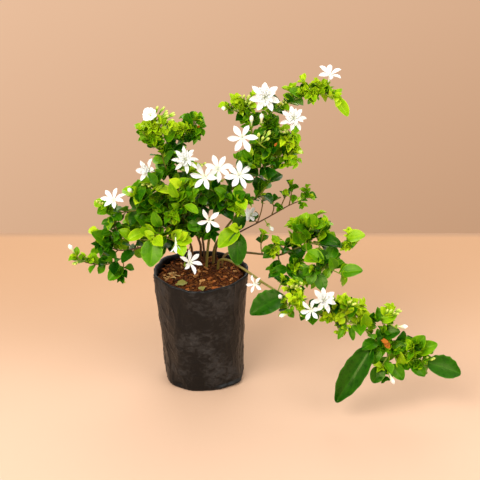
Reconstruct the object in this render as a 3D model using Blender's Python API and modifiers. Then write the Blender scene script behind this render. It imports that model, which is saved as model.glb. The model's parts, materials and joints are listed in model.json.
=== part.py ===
"""A potted star jasmine: a soft black polythene nursery bag filled with coir, with the
twigs, leaves and white flowers that grow from it. Lengths are in metres, +Z is up, +X is
the side that the long low branch leans to, and the origin is the middle of the bag's base."""

import math
import random

import bmesh
import bpy
from mathutils import Matrix, Quaternion, Vector
from mathutils.bvhtree import BVHTree

MM = 0.001  # the plant's routes and places are listed in millimetres
GAP = 0.0003  # left between pieces that touch
MERGE = 0.00001  # points this close are one
CROWN = Vector((0.0032, 0, 0))  # where the plant's own measures start from, on the bag's base

BAG_TOP_RADIUS = 0.0642
BAG_BASE_RADIUS = 0.0527
BAG_HEIGHT = 0.163
BAG_LEAN = -0.0048  # how far the rim's middle leans along X
BAG_WALL = 0.0012
BAG_SIDES = 30
BAG_LEVELS = (163, 130, 100, 70, 36, 5)  # heights of the rows of points, in mm
BAG_FOOT = (0.965, 0.5)  # shares of the radius of the two rings of the flat base

SOIL_EDGE = 0.155  # height of the coir against the bag
SOIL_MOUND = 0.007  # how much higher it stands round the stems
SOIL_MOUND_REACH = 0.030
SOIL_RINGS = (0.25, 0.5, 0.76)
SOIL_INSET = BAG_WALL + GAP + 0.0004
HOLE_BOTTOM = 138  # mm, where the stems end in the coir
HOLE_TOP = 168  # mm, up to where the foot of a stem is straight
HOLE_DEEPER = 0.5  # mm between a stem's foot and the bottom of its hole
HOLE_WIDER = 0.0007
LITTER_SEED = 5
LITTER_TAPER = (0.75, 0.35)  # widths of a chip's two ends, as shares of its width

LEAF_THICK = 0.0006
LARGE_SHARES = ((0.30, 0.94), (0.66, 0.80), (1.0, 0.0))
SMALL_SHARES = ((0.46, 1.0), (1.0, 0.0))  # places along a leaf, and shares of its width there
LEAF_NECK = ((0.0, 0.06), (0.16, 0.35))
LEAF_SIZE = 1.15  # all of the small leaves' lengths are this much of those listed
LEAF_WIDTH = 0.62  # width as a share of length
LEAF_ARCH = 0.06
LEAF_SPREAD = math.radians(62)  # between a leaf and its twig
LEAF_CLEAR = 0.0005  # kept free round a leaf on every side
LEAF_ENDWISE = 0.93  # a leaf that would point this much along its own upward side isn't made
LEAF_SEED = 11
LEAF_TRIES = ((0, 0.15, 1.0), (0.35, 0.15, 1.0), (-0.35, 0.15, 1.0), (0.2, 0.45, 0.95),
              (-0.2, -0.15, 0.95), (0.6, 0.1, 0.9), (-0.6, 0.1, 0.9), (0, 0.6, 0.8),
              (0.5, -0.3, 0.8), (-0.5, 0.5, 0.75), (0, 0.2, 0.65), (0.3, 0.3, 0.5))
ROUTE_STEP = 0.026  # two points of a route further apart than this get one between them
SEAT_HALF = 0.0008  # half the length of twig that a leaf grows from
SEAT_CLEAR = 0.0005
PLANT_AXIS = Vector((0.0232, 0.03, 0))  # leaves turn their faces away from this upright line

PETAL_THICK = 0.0006
PETAL_WIDTH = 0.40  # as a share of a petal's length
PETAL_SHARES = ((0.50, 1.0), (1.0, 0.0))
THROAT = 0.0023  # radius of a flower's throat, which the petals grow from
THROAT_LIP = 0.0007
THROAT_STEP = 0.0006  # between the outer whorl and the inner one
INNER_SHARE = 0.80  # length of an inner petal as a share of an outer one
INNER_CLOSER = 26  # degrees by which the inner petals stand closer to the axis
TUBE_LENGTH = 0.011
TUBE_RADIUS = 0.0008
CALYX_LENGTH = 0.004
STALK_LEAST = 0.002  # a large leaf further than this from its twig gets a stalk
STALK_THICK = 0.0011
LARGE_ARCH = 0.07
STALK_SUNK = 0.0014  # how far inside a twig's end a stalk starts at least
STALK_FOLD = 0.2  # a stalk that would turn back further than this is left out
FLOWER_STALK = (0.0007, 0.0008, 0.0015)  # radii at the twig, under the calyx and at its mouth
SHORT_STALK = (0.0010, 0.0015)
CALYX_DROP = 0.004  # how far below its calyx a flower's stalk looks for a twig
WHITE_BUD = (0.0008, 0.0012, 0.0022, 0.0005)  # radii from the foot of a white bud to its tip
WHITE_BUD_SHARES = (1.0, 0.5, 0.2, 0.0)  # and how far back from the tip each one is
GREEN_BUD = (0.0005, 0.0015, 0.0004)
GREEN_BUD_BELLY = 0.45

LEAF_GREEN = (0.08, 0.27, 0.02)
PETAL_WHITE = (0.86, 0.88, 0.84)
BAG_BLACK = (0.022, 0.019, 0.017)
COIR_BROWN = (0.17, 0.06, 0.025)
STRAW = (0.46, 0.30, 0.13)

# Each leafy stem is a list of twigs, the first of them its main stem. A twig is its thickness at
# the root and at the tip as radii in mm, then its leaves, as the number of pairs, the length in mm
# of the first and of the last, and the share of the route where they start, and then its route.
STEMS = {
    "stem_top_left": [
        (1.9, 0.9, (6, 25, 17, 0.50), [(-10, 20, HOLE_BOTTOM), (-10, 20, HOLE_TOP),
            (-8, 17, 190), (-15, 12, 215), (-27, 8, 246), (-40, 5, 277), (-51, 3, 309),
            (-59, 0, 338), (-68, -2, 360), (-71, -5, 374)]),
        (1.0, 0.8, (4, 19, 14, 0.25), [(-54, 2, 320), (-39, 8, 341), (-24, 12, 356),
            (-12, 15, 375)]),
        (1.0, 0.8, (3, 17, 13, 0.20), [(-59, 0, 338), (-74, -10, 356), (-81, -14, 371)]),
        (1.0, 0.8, (2, 22, 17, 0.40), [(-27, 8, 246), (-22, 14, 275), (-20, 16, 300)]),
    ],
    "stem_left": [
        (1.9, 0.9, (4, 30, 22, 0.45), [(-20, 6, HOLE_BOTTOM), (-20, 6, HOLE_TOP),
            (-20, 4, 192), (-27, -5, 216), (-45, -15, 238), (-67, -25, 260), (-83, -32, 281),
            (-91, -35, 287)]),
        (1.0, 0.8, (4, 26, 18, 0.20), [(-45, -15, 238), (-50, -20, 264), (-59, -25, 285),
            (-69, -28, 304)]),
        (1.0, 0.8, (4, 26, 17, 0.20), [(-27, -5, 216), (-31, -20, 254), (-36, -25, 278),
            (-33, -25, 297)]),
        (1.0, 0.8, (4, 24, 16, 0.22), [(-67, -25, 260), (-86, -30, 265), (-106, -28, 262),
            (-124, -25, 257), (-134, -25, 269)]),
        (1.0, 0.8, (1, 24, 22, 0.50), [(-45, -15, 238), (-60, -35, 236), (-70, -48, 229)]),
        (1.0, 0.8, (2, 24, 20, 0.35), [(-60, -35, 236), (-46, -45, 230), (-32, -47, 226)]),
    ],
    "stem_low_left": [
        (1.8, 0.8, (5, 28, 17, 0.40), [(-18, -8, HOLE_BOTTOM), (-18, -8, HOLE_TOP),
            (-20, -9, 190), (-37, -15, 207), (-65, -15, 209), (-92, -15, 203),
            (-119, -15, 200), (-137, -18, 212), (-144, -20, 225)]),
        (1.0, 0.8, (5, 20, 12, 0.35), [(-92, -15, 203), (-113, -25, 193), (-132, -28, 185),
            (-149, -30, 186), (-166, -32, 192), (-174, -32, 198)]),
        (0.9, 0.8, (1, 16, 14, 0.60), [(-113, -25, 193), (-111, -28, 179), (-116, -30, 168)]),
        (0.9, 0.8, (1, 20, 18, 0.70), [(-119, -15, 200), (-132, -10, 188), (-144, -8, 196)]),
        (0.9, 0.8, (2, 24, 18, 0.45), [(-92, -15, 203), (-95, 6, 214), (-102, 24, 226)]),
    ],
    "stem_top": [
        (2.1, 0.9, (6, 26, 17, 0.52), [(0, 10, HOLE_BOTTOM), (0, 10, HOLE_TOP), (2, 12, 192),
            (6, 14, 217), (13, 16, 243), (23, 18, 262), (35, 20, 276), (50, 22, 293),
            (59, 22, 316), (62, 20, 345), (59, 18, 374), (50, 15, 391)]),
        (0.9, 0.8, (2, 17, 14, 0.30), [(59, 18, 374), (43, 12, 387), (31, 8, 393)]),
        (1.0, 0.8, (6, 20, 14, 0.22), [(61, 20, 345), (75, 15, 364), (88, 12, 387),
            (111, 10, 401), (130, 8, 410), (152, 5, 414), (169, 0, 410)]),
        (0.85, 0.8, (1, 14, 13, 0.50), [(130, 8, 410), (143, 6, 420), (152, 6, 425)]),
        (1.0, 0.8, (3, 24, 18, 0.30), [(13, 16, 243), (30, 5, 258), (43, -2, 268)]),
        (0.9, 0.8, (2, 20, 17, 0.40), [(23, 18, 262), (27, 2, 256), (40, -7, 252)]),
        (0.9, 0.8, (2, 20, 17, 0.35), [(23, 18, 262), (8, 10, 277), (-1, 5, 284)]),
    ],
    "stem_top_right": [
        (2.0, 0.9, (6, 24, 17, 0.55), [(9, 27, HOLE_BOTTOM), (9, 27, HOLE_TOP), (11, 28, 184),
            (29, 32, 215), (54, 34, 245), (71, 33, 259), (80, 31, 272), (89, 28, 295),
            (91, 24, 323), (89, 20, 346), (84, 18, 366)]),
        (0.9, 0.8, (2, 20, 16, 0.40), [(91, 24, 323), (106, 18, 322), (118, 15, 333)]),
        (0.9, 0.8, (2, 20, 15, 0.40), [(89, 20, 346), (104, 16, 349), (115, 14, 353)]),
        (0.9, 0.8, (3, 22, 16, 0.25), [(90, 27, 305), (75, 14, 308), (60, 8, 313),
            (54, 5, 324)]),
        (0.85, 0.8, (2, 17, 13, 0.35), [(90, 22, 334), (79, 2, 341), (70, -4, 350)]),
        (0.9, 0.8, (3, 24, 17, 0.30), [(91, 24, 323), (95, 38, 333), (100, 54, 344)]),
    ],
    "stem_thin_right": [
        (1.4, 0.7, (1, 17, 15, 0.97), [(12, 37, HOLE_BOTTOM), (12, 37, HOLE_TOP),
            (14, 38, 181), (29, 42, 191), (47, 46, 200), (70, 48, 212), (90, 50, 223),
            (114, 52, 237), (131, 52, 245), (140, 52, 250)]),
        (0.85, 0.8, (1, 14, 12, 0.80), [(114, 52, 237), (117, 52, 255), (117, 52, 268)]),
        (0.85, 0.8, (1, 15, 13, 0.85), [(90, 50, 223), (93, 50, 235), (89, 48, 245)]),
        (0.85, 0.8, (1, 15, 13, 0.85), [(101, 51, 230), (105, 48, 243), (109, 48, 253)]),
        (0.85, 0.8, (1, 12, 11, 0.85), [(70, 48, 212), (76, 48, 232), (78, 48, 250)]),
        (0.85, 0.8, (1, 12, 11, 0.50), [(70, 48, 212), (67, 46, 217), (64, 43, 221)]),
        (0.9, 0.8, (1, 24, 22, 0.60), [(29, 42, 191), (36, 20, 207), (44, 2, 224)]),
    ],
    "stem_right": [
        (1.8, 0.8, (3, 26, 20, 0.62), [(22, 22, HOLE_BOTTOM), (22, 22, HOLE_TOP),
            (24, 23, 173), (36, 28, 177), (56, 32, 174), (77, 31, 172), (99, 28, 172),
            (115, 24, 180), (134, 20, 190), (153, 16, 196), (175, 12, 193), (193, 8, 204)]),
        (0.9, 0.8, (2, 14, 11, 0.55), [(77, 31, 172), (75, 30, 187), (78, 28, 204)]),
        (0.9, 0.8, (2, 18, 14, 0.35), [(99, 28, 172), (90, 22, 183), (96, 19, 193)]),
        (0.9, 0.8, (2, 20, 16, 0.40), [(104, 26, 175), (108, 20, 188), (116, 18, 196)]),
        (0.9, 0.8, (1, 18, 16, 0.60), [(99, 28, 172), (102, 15, 158), (103, 5, 144)]),
        (0.9, 0.8, (1, 18, 15, 0.70), [(134, 20, 190), (137, 15, 207), (143, 12, 221)]),
        (0.9, 0.8, (2, 18, 14, 0.50), [(153, 16, 196), (156, 13, 215), (162, 10, 228)]),
        (0.9, 0.8, (2, 22, 18, 0.45), [(153, 16, 196), (161, 5, 182), (170, -5, 168),
            (186, -12, 161)]),
        (0.9, 0.8, (1, 20, 17, 0.60), [(166, 0, 174), (155, -10, 166), (145, -14, 170)]),
        (0.9, 0.8, (1, 18, 16, 0.60), [(102, 15, 158), (112, 4, 164), (123, -4, 168)]),
        (0.9, 0.8, (3, 26, 18, 0.30), [(134, 20, 190), (141, 40, 202), (149, 58, 214)]),
    ],
    "stem_low_right": [
        (1.8, 0.7, (6, 24, 20, 0.52), [(16, 6, HOLE_BOTTOM), (16, 6, HOLE_TOP), (18, 3, 176),
            (30, -5, 180), (46, -15, 175), (62, -25, 168), (78, -35, 160), (97, -45, 152),
            (118, -55, 142), (143, -62, 131), (166, -70, 128), (190, -78, 124),
            (211, -85, 117), (229, -92, 102), (248, -98, 89), (269, -102, 82),
            (288, -105, 78)]),
        (0.9, 0.8, (2, 16, 12, 0.50), [(118, -55, 142), (121, -51, 154), (121, -49, 165)]),
        (0.9, 0.8, (1, 15, 12, 0.70), [(97, -45, 152), (100, -40, 159), (103, -36, 164)]),
        (0.9, 0.8, (1, 14, 12, 0.70), [(118, -55, 142), (111, -62, 138), (108, -66, 131)]),
        (0.9, 0.8, (3, 20, 13, 0.35), [(190, -78, 124), (186, -80, 140), (188, -82, 153)]),
        (0.9, 0.8, (2, 20, 15, 0.40), [(166, -70, 128), (164, -74, 140), (160, -76, 150)]),
        (0.9, 0.8, (2, 20, 16, 0.40), [(211, -85, 117), (224, -88, 130), (238, -90, 138)]),
        (0.9, 0.8, (1, 18, 16, 0.70), [(248, -98, 89), (238, -103, 78), (234, -106, 70)]),
        (0.9, 0.8, (2, 20, 16, 0.50), [(269, -102, 82), (273, -104, 95), (279, -105, 105)]),
    ],
    "stem_back": [
        (1.7, 0.8, (5, 28, 20, 0.45), [(-4, 36, HOLE_BOTTOM), (-4, 36, HOLE_TOP),
            (-6, 40, 190), (-12, 48, 220), (-20, 58, 250), (-30, 68, 276), (-38, 76, 300)]),
        (1.0, 0.8, (3, 26, 19, 0.30), [(-12, 48, 220), (4, 62, 240), (16, 74, 262)]),
        (1.0, 0.8, (3, 26, 19, 0.30), [(-12, 48, 220), (-36, 50, 232), (-62, 54, 246)]),
    ],
}

# Large leaves that are placed one by one: the stem that carries each, the root and the tip of
# the blade in mm, its width in mm, and how far its face turns from straight up to the front.
LARGE_LEAVES = [
    ("stem_left", (-60, -50, 228), (-72, -66, 198), 31, 1.1),
    ("stem_left", (-44, -46, 218), (-16, -46, 228), 22, 0.7),
    ("stem_low_left", (-122, -20, 214), (-152, -32, 234), 24, 0.8),
    ("stem_low_left", (-121, -17, 221), (-100, -24, 238), 18, 0.8),
    ("stem_left", (-80, -34, 236), (-104, -42, 226), 16, 0.9),
    ("stem_low_left", (-90, -25, 190), (-112, -40, 192), 17, 0.3),
    ("stem_low_left", (-106, -30, 182), (-132, -40, 166), 19, 0.8),
    ("stem_left", (-126, -27, 268), (-142, -36, 262), 15, 1.0),
    ("stem_left", (-122, -27, 262), (-110, -40, 254), 15, 1.0),
    ("stem_left", (-73, -30, 272), (-92, -44, 292), 20, 0.9),
    ("stem_left", (-68, -27, 304), (-54, -24, 320), 16, 0.8),
    ("stem_thin_right", (44, -2, 229), (16, -20, 205), 26, 0.9),
    ("stem_thin_right", (42, -2, 222), (43, -22, 178), 26, 1.3),
    ("stem_top", (169, -1, 410), (187, -6, 386), 15, 0.9),
    ("stem_right", (129, 20, 192), (123, 14, 226), 21, 1.3),
    ("stem_right", (138, 14, 200), (134, 6, 222), 15, 1.2),
    ("stem_right", (143, 11, 222), (148, 6, 246), 17, 1.3),
    ("stem_right", (146, 11, 222), (166, 4, 232), 14, 0.9),
    ("stem_right", (146, 14, 203), (164, 2, 214), 17, 0.8),
    ("stem_right", (155, 12, 200), (186, -8, 201), 21, 0.5),
    ("stem_right", (176, 11, 193), (167, -6, 177), 18, 0.9),
    ("stem_right", (192, 7, 206), (217, -2, 216), 20, 0.7),
    ("stem_right", (158, -2, 184), (132, -16, 184), 22, 0.6),
    ("stem_right", (184, -11, 162), (214, -20, 172), 21, 0.7),
    ("stem_right", (175, -8, 168), (167, -20, 192), 17, 1.2),
    ("stem_right", (92, 20, 168), (90, 4, 148), 15, 1.1),
    ("stem_right", (112, 4, 165), (135, -14, 155), 24, 0.9),
    ("stem_right", (145, -14, 168), (140, -26, 152), 15, 1.1),
    ("stem_right", (152, -10, 164), (160, -28, 142), 20, 1.0),
    ("stem_low_right", (106, -49, 149), (58, -72, 131), 36, 0.7),
    ("stem_low_right", (186, -80, 122), (176, -90, 103), 9, 1.0),
    ("stem_low_right", (192, -80, 121), (197, -90, 101), 9, 1.0),
    ("stem_low_right", (213, -86, 120), (210, -92, 144), 17, 1.2),
    ("stem_low_right", (231, -90, 133), (253, -94, 142), 19, 0.9),
    ("stem_low_right", (236, -95, 112), (258, -100, 122), 19, 0.7),
    ("stem_low_right", (222, -96, 100), (172, -124, 24), 35, 1.0),
    ("stem_low_right", (230, -94, 103), (206, -106, 97), 20, 0.4),
    ("stem_low_right", (246, -98, 92), (268, -104, 102), 19, 0.8),
    ("stem_low_right", (236, -105, 72), (222, -114, 50), 20, 1.1),
    ("stem_low_right", (246, -104, 74), (264, -114, 55), 18, 1.0),
    ("stem_low_right", (276, -104, 98), (289, -108, 120), 21, 1.1),
    ("stem_low_right", (280, -105, 92), (307, -108, 108), 20, 0.9),
    ("stem_low_right", (271, -105, 79), (292, -116, 62), 19, 1.0),
    ("stem_low_right", (292, -105, 77), (342, -106, 60), 33, 0.9),
    ("stem_low_right", (228, -98, 98), (222, -110, 76), 16, 1.1),
]

# The flowers: the stem that carries each, the place of its eye in mm, the way it faces, the
# number of petals in its outer and inner whorl, their length in mm, how far they open in
# degrees from the flower's axis, and its own turn.
FLOWERS = {
    "flower_01": ("stem_top_left", (-70, -12, 391), (-0.2, -0.7, 0.7), 5, 3, 13, 48, 10),
    "flower_02": ("stem_top_left", (-26, -10, 328), (0.1, -0.8, 0.6), 6, 4, 16, 80, 0),
    "flower_03": ("stem_left", (-72, -34, 323), (-0.6, -0.7, 0.4), 6, 0, 17, 62, 20),
    "flower_04": ("stem_left", (-118, -46, 286), (-0.1, -0.9, 0.4), 6, 0, 17, 82, 8),
    "flower_05": ("stem_top", (0, -14, 306), (-0.4, -0.8, 0.3), 6, 0, 18, 70, 0),
    "flower_06": ("stem_top", (17, 0, 312), (0.2, -0.8, 0.5), 6, 0, 17, 74, 30),
    "flower_07": ("stem_top", (45, -6, 305), (0.1, -0.9, 0.4), 7, 0, 19, 82, 8),
    "flower_08": ("stem_top", (49, -12, 360), (0.0, -0.9, 0.4), 6, 0, 20, 84, 2),
    "flower_09": ("stem_top", (78, -12, 415), (0.0, -0.9, 0.4), 7, 3, 21, 80, 12),
    "flower_10": ("stem_top", (115, -12, 386), (0.1, -0.9, 0.5), 6, 4, 17, 80, 20),
    "flower_11": ("stem_top", (161, -2, 441), (0.1, -0.7, 0.7), 6, 0, 18, 78, 15),
    "flower_12": ("stem_top", (5, -32, 251), (0.0, -0.9, 0.2), 5, 0, 18, 72, 10),
    "flower_13": ("stem_thin_right", (60, 36, 229), (-0.3, -0.8, -0.3), 5, 0, 12, 40, 0),
    "flower_14": ("stem_left", (-21, -48, 197), (0.2, -0.9, 0.2), 6, 0, 18, 80, 25),
    "flower_15": ("stem_low_right", (66, -42, 162), (-0.3, -0.9, 0.2), 5, 0, 14, 78, 15),
    "flower_16": ("stem_low_right", (155, -92, 164), (0.2, -0.9, 0.5), 7, 3, 18, 80, 5),
    "flower_17": ("stem_low_right", (140, -86, 146), (-0.5, -0.8, 0.2), 6, 0, 16, 76, 20),
}

# White buds: the stem that carries each, its tip in mm, the way it points and its length in mm.
BUDS = {
    "bud_01": ("stem_top", (74, -2, 390), (0.0, -0.1, 1.0), 15),
    "bud_02": ("stem_top", (61, 2, 386), (0.0, -0.2, 1.0), 17),
    "bud_03": ("stem_top", (22, 2, 396), (-0.8, -0.4, 0.4), 12),
    "bud_04": ("stem_left", (-100, -40, 300), (-0.6, -0.4, 0.7), 13),
    "bud_05": ("stem_low_left", (-182, -36, 218), (-0.4, -0.1, 0.8), 15),
    "bud_06": ("stem_low_right", (98, -66, 158), (-0.3, -0.5, 0.7), 15),
    "bud_07": ("stem_low_right", (98, -76, 131), (-0.9, -0.4, -0.1), 14),
    "bud_08": ("stem_low_right", (266, -106, 132), (0.9, -0.2, 0.1), 15),
    "bud_09": ("stem_low_right", (250, -122, 54), (0.4, -0.4, -0.8), 17),
    "bud_10": ("stem_thin_right", (92, 30, 208), (0.5, -0.6, -0.4), 12),
}

# Green buds that stay part of their stem: the stem, the middle of the cluster in mm, its reach
# in mm, the number of buds in it and their length in mm.
GREEN_BUDS = [
    ("stem_top_left", (-53, -6, 398), 12, 3, 11),
    ("stem_top_right", (76, 0, 360), 13, 5, 12),
    ("stem_top_right", (104, 10, 362), 8, 2, 10),
    ("stem_top", (100, 0, 404), 9, 3, 11),
    ("stem_top", (60, 8, 404), 7, 2, 11),
    ("stem_low_left", (-176, -38, 190), 6, 2, 8),
    ("stem_left", (-140, -34, 280), 7, 2, 10),
    ("stem_low_right", (122, -56, 168), 12, 5, 11),
    ("stem_low_right", (254, -96, 148), 8, 2, 10),
    ("stem_low_right", (300, -110, 88), 8, 2, 9),
    ("stem_low_right", (192, -88, 160), 8, 3, 9),
]

# Loose litter on the coir: the place in mm, the length, width and thickness in mm, and the turn
# in degrees. The first is a fallen leaf, the others are chips of husk.
LITTER = {
    "fallen_leaf_01": ((-30, -34), 17, 7, 1.2, 20),
    "fallen_leaf_02": ((-2, -50), 13, 6, 1.2, 100),
    "husk_chip_01": ((16, -46), 9, 7, 4.0, 35),
    "husk_chip_02": ((-50, -14), 12, 4, 2.0, 70),
    "husk_chip_03": ((30, -38), 8, 5, 3.0, 10),
}


def clear_scene():
    for obj in list(bpy.data.objects):
        bpy.data.objects.remove(obj, do_unlink=True)


def new_collection(name):
    made = bpy.data.collections.new(name)
    bpy.context.scene.collection.children.link(made)
    return made


def plain_material(name, colour, roughness):
    made = bpy.data.materials.new(name)
    made.use_nodes = True
    shader = made.node_tree.nodes["Principled BSDF"]
    shader.inputs["Base Color"].default_value = (*colour, 1)
    shader.inputs["Roughness"].default_value = roughness
    shader.inputs["Metallic"].default_value = 0
    return made


def mm(point):
    """A place on the plant, which is listed in mm from its crown."""
    return CROWN + Vector(point) * MM


def add_object(name, mesh, collection):
    obj = bpy.data.objects.new(name, mesh)
    collection.objects.link(obj)
    return obj


def mesh_from(bm, name):
    mesh = bpy.data.meshes.new(name)
    bm.to_mesh(mesh)
    bm.free()
    return mesh


def freeze(obj):
    """Replaces the object's mesh, with its modifiers, by the plain mesh that they make."""
    graph = bpy.context.evaluated_depsgraph_get()
    graph.update()
    made = bpy.data.meshes.new_from_object(obj.evaluated_get(graph))
    obj.modifiers.clear()
    obj.data = made


def turned(name, profile, collection):
    """A profile at +X, turned about Z as one smooth skin with its poles closed."""
    bm = bmesh.new()
    points = [bm.verts.new((radius, 0, height)) for radius, height in profile]
    for first, second in zip(points, points[1:]):
        bm.edges.new((first, second))
    obj = add_object(name, mesh_from(bm, name), collection)
    screw = obj.modifiers.new("Turn", "SCREW")
    screw.steps = BAG_SIDES
    screw.render_steps = BAG_SIDES
    screw.use_merge_vertices = True
    screw.merge_threshold = MERGE
    freeze(obj)
    return obj


def bag_bulge(turn, rise):
    """How far the soft wall stands out or in, at a turn round the bag and a share of its height."""
    wide = 0.0012 * math.sin(3 * turn + 1.1 + 1.7 * rise)
    mid = 0.0008 * math.sin(5 * turn - 0.7 - 2.4 * rise)
    fine = 0.0005 * math.sin(9 * turn + 0.4 + 3.0 * rise)
    waist = -0.0016 * math.sin(math.pi * rise) * math.cos(turn)
    return wide + mid + fine + waist


def rim_lift(turn):
    """The rim stands highest at the two ends of its flat fold, left and right."""
    return 0.0028 * math.cos(2 * turn) + 0.0008 * math.sin(5 * turn + 0.6)


def soften(point, inset):
    """Moves a point of the turned bag to its place on the soft, leaning one."""
    turn = math.atan2(point.y, point.x)
    rise = point.z / BAG_HEIGHT
    reach = math.hypot(point.x, point.y)
    full = BAG_BASE_RADIUS + (BAG_TOP_RADIUS - BAG_BASE_RADIUS) * rise
    share = reach / full
    reach = share * (full + bag_bulge(turn, rise) - inset)
    lift = rim_lift(turn) * rise ** 4 * share ** 6
    return Vector((reach * math.cos(turn) + BAG_LEAN * rise, reach * math.sin(turn),
                   point.z + lift))


def bag_radius(height):
    return BAG_BASE_RADIUS + (BAG_TOP_RADIUS - BAG_BASE_RADIUS) * height / BAG_HEIGHT


def build_bag(parts):
    profile = [(bag_radius(level * MM), level * MM) for level in BAG_LEVELS]
    profile += [(BAG_BASE_RADIUS * share, 0) for share in BAG_FOOT]
    profile.append((0, 0))
    bag = turned("nursery_bag", profile, parts)
    for vertex in bag.data.vertices:
        vertex.co = soften(vertex.co, 0)
    shell = bag.modifiers.new("Wall", "SOLIDIFY")
    shell.thickness = BAG_WALL
    shell.offset = -1
    bag.data.materials.append(plain_material("bag_film", BAG_BLACK, 0.45))
    return bag


def soil_height(x, y):
    mound = SOIL_MOUND * math.exp(-(x * x + y * y) / SOIL_MOUND_REACH ** 2)
    lumps = 0.0011 * math.sin(230 * x + 1) * math.sin(205 * y) + 0.0007 * math.sin(410 * x - 160 * y)
    return SOIL_EDGE + mound + lumps


def build_soil(parts):
    """Coir that fills the bag, with its own loose, mounded top."""
    floor = BAG_WALL + GAP
    levels = [level * MM for level in BAG_LEVELS[1:]]
    profile = [(0, SOIL_EDGE)]
    profile += [(bag_radius(SOIL_EDGE) * share, SOIL_EDGE) for share in SOIL_RINGS]
    profile.append((bag_radius(SOIL_EDGE), SOIL_EDGE))
    profile += [(bag_radius(level), level) for level in levels]
    profile += [(BAG_BASE_RADIUS * share, floor) for share in BAG_FOOT]
    profile.append((0, floor))
    soil = turned("coir", profile, parts)
    for vertex in soil.data.vertices:
        on_top = vertex.co.z > SOIL_EDGE - 0.5 * MM
        vertex.co = soften(vertex.co, SOIL_INSET)
        if on_top:
            vertex.co.z = soil_height(vertex.co.x, vertex.co.y)
    soil.data.materials.append(plain_material("coir", COIR_BROWN, 0.95))
    return soil


def tube(name, points, radii, sides, collection):
    """A many-sided bar through the points, as a closed mesh."""
    curve = bpy.data.curves.new(name, "CURVE")
    curve.dimensions = "3D"
    curve.bevel_depth = max(radii)
    curve.bevel_resolution = (sides - 4) // 2
    curve.use_fill_caps = True
    spline = curve.splines.new("POLY")
    spline.points.add(len(points) - 1)
    for control, point, radius in zip(spline.points, points, radii):
        control.co = (*point, 1)
        control.radius = radius / curve.bevel_depth
    guide = add_object(name + "_route", curve, collection)
    graph = bpy.context.evaluated_depsgraph_get()
    mesh = bpy.data.meshes.new_from_object(guide.evaluated_get(graph))
    bpy.data.objects.remove(guide, do_unlink=True)
    bm = bmesh.new()
    bm.from_mesh(mesh)
    bmesh.ops.remove_doubles(bm, verts=bm.verts, dist=MERGE)
    bmesh.ops.recalc_face_normals(bm, faces=bm.faces)
    bm.to_mesh(mesh)
    bm.free()
    return add_object(name, mesh, collection)


def loft(bm, rings):
    """A closed skin over rings of as many points each. Gives the side faces between each two."""
    made = [[bm.verts.new(point) for point in ring] for ring in rings]
    count = len(made[0])
    bands = []
    for low, high in zip(made, made[1:]):
        bands.append([bm.faces.new((low[i], low[(i + 1) % count], high[(i + 1) % count], high[i]))
                      for i in range(count)])
    bm.faces.new(made[0][::-1])
    bm.faces.new(made[-1])
    return bands


def ring(middle, way, across, radius, sides, turn=0.0):
    """Points round a bar. Its first side faces across, and the others follow round its way."""
    other = way.cross(across).normalized()
    points = []
    for number in range(sides):
        angle = turn + 2 * math.pi * (number - 0.5) / sides
        points.append(middle + (across * math.cos(angle) + other * math.sin(angle)) * radius)
    return points


def smooth_route(route):
    """The route's own points, with one more on a smooth curve between two that are far apart."""
    points = [mm(point) for point in route]
    made = []
    for i in range(len(points) - 1):
        before = points[max(i - 1, 0)]
        after = points[min(i + 2, len(points) - 1)]
        made.append(points[i])
        if i > 0 and (points[i + 1] - points[i]).length > ROUTE_STEP:
            made.append((points[i] + points[i + 1]) * 0.5625 - (before + after) * 0.0625)
    made.append(points[-1])
    return made


class Route:
    """A twig's middle line, with a direction across it that never twists."""

    def __init__(self, points):
        self.points = points
        self.ways = [(b - a).normalized() for a, b in zip(points, points[1:])]
        self.starts = [0.0]
        for first, second in zip(points, points[1:]):
            self.starts.append(self.starts[-1] + (second - first).length)
        across = self.ways[0].orthogonal().normalized()
        self.across = [across]
        for before, after in zip(self.ways, self.ways[1:]):
            across = across.copy()
            across.rotate(before.rotation_difference(after))
            self.across.append(across)

    def at(self, distance):
        """The point, the way and the direction across at a distance along the route."""
        last = len(self.ways) - 1
        number = max(i for i in range(last + 1) if self.starts[i] <= distance or i == 0)
        point = self.points[number] + self.ways[number] * (distance - self.starts[number])
        return point, self.ways[number], self.across[number]

    def corner(self, number):
        """The same at one of the route's own points, halfway between its two directions."""
        low = max(number - 1, 0)
        high = min(number, len(self.ways) - 1)
        way = (self.ways[low] + self.ways[high]).normalized()
        across = self.across[low] + self.across[high]
        across = (across - way * across.dot(way)).normalized()
        return self.points[number], way, across

    def nearest(self, place):
        """The distance along the route of its nearest point to the place."""
        best = None
        for number, (first, way) in enumerate(zip(self.points, self.ways)):
            length = self.starts[number + 1] - self.starts[number]
            share = min(max((place - first).dot(way), 0), length)
            gap = (first + way * share - place).length
            if best is None or gap < best[0]:
                best = (gap, self.starts[number] + share)
        return best


def leaf_sections(root, tip, up, width, shares, arch, thick):
    """The four corners of each cross-section of a blade that arches along its length."""
    line = tip - root
    side = up.cross(line).normalized()
    top = line.cross(side).normalized()
    sections = []
    for share, spread in shares:
        middle = root + line * share + top * (arch * line.length * 4 * share * (1 - share))
        half = side * (width / 2 * spread)
        rise = top * (thick / 2)
        sections.append([middle + half - rise, middle + half + rise, middle - half + rise,
                         middle - half - rise])
    return sections


def split_alike(bm, old, new):
    """Cuts the two broad faces of a blade into triangles along like diagonals."""
    for low, high, other in ((1, 2, 2), (0, 3, 3)):
        for face in new[other].link_faces:
            if old[low] in face.verts and len(face.verts) == 4 and old[high] in face.verts:
                bmesh.utils.face_split(face, old[low], new[other])
                break


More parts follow.
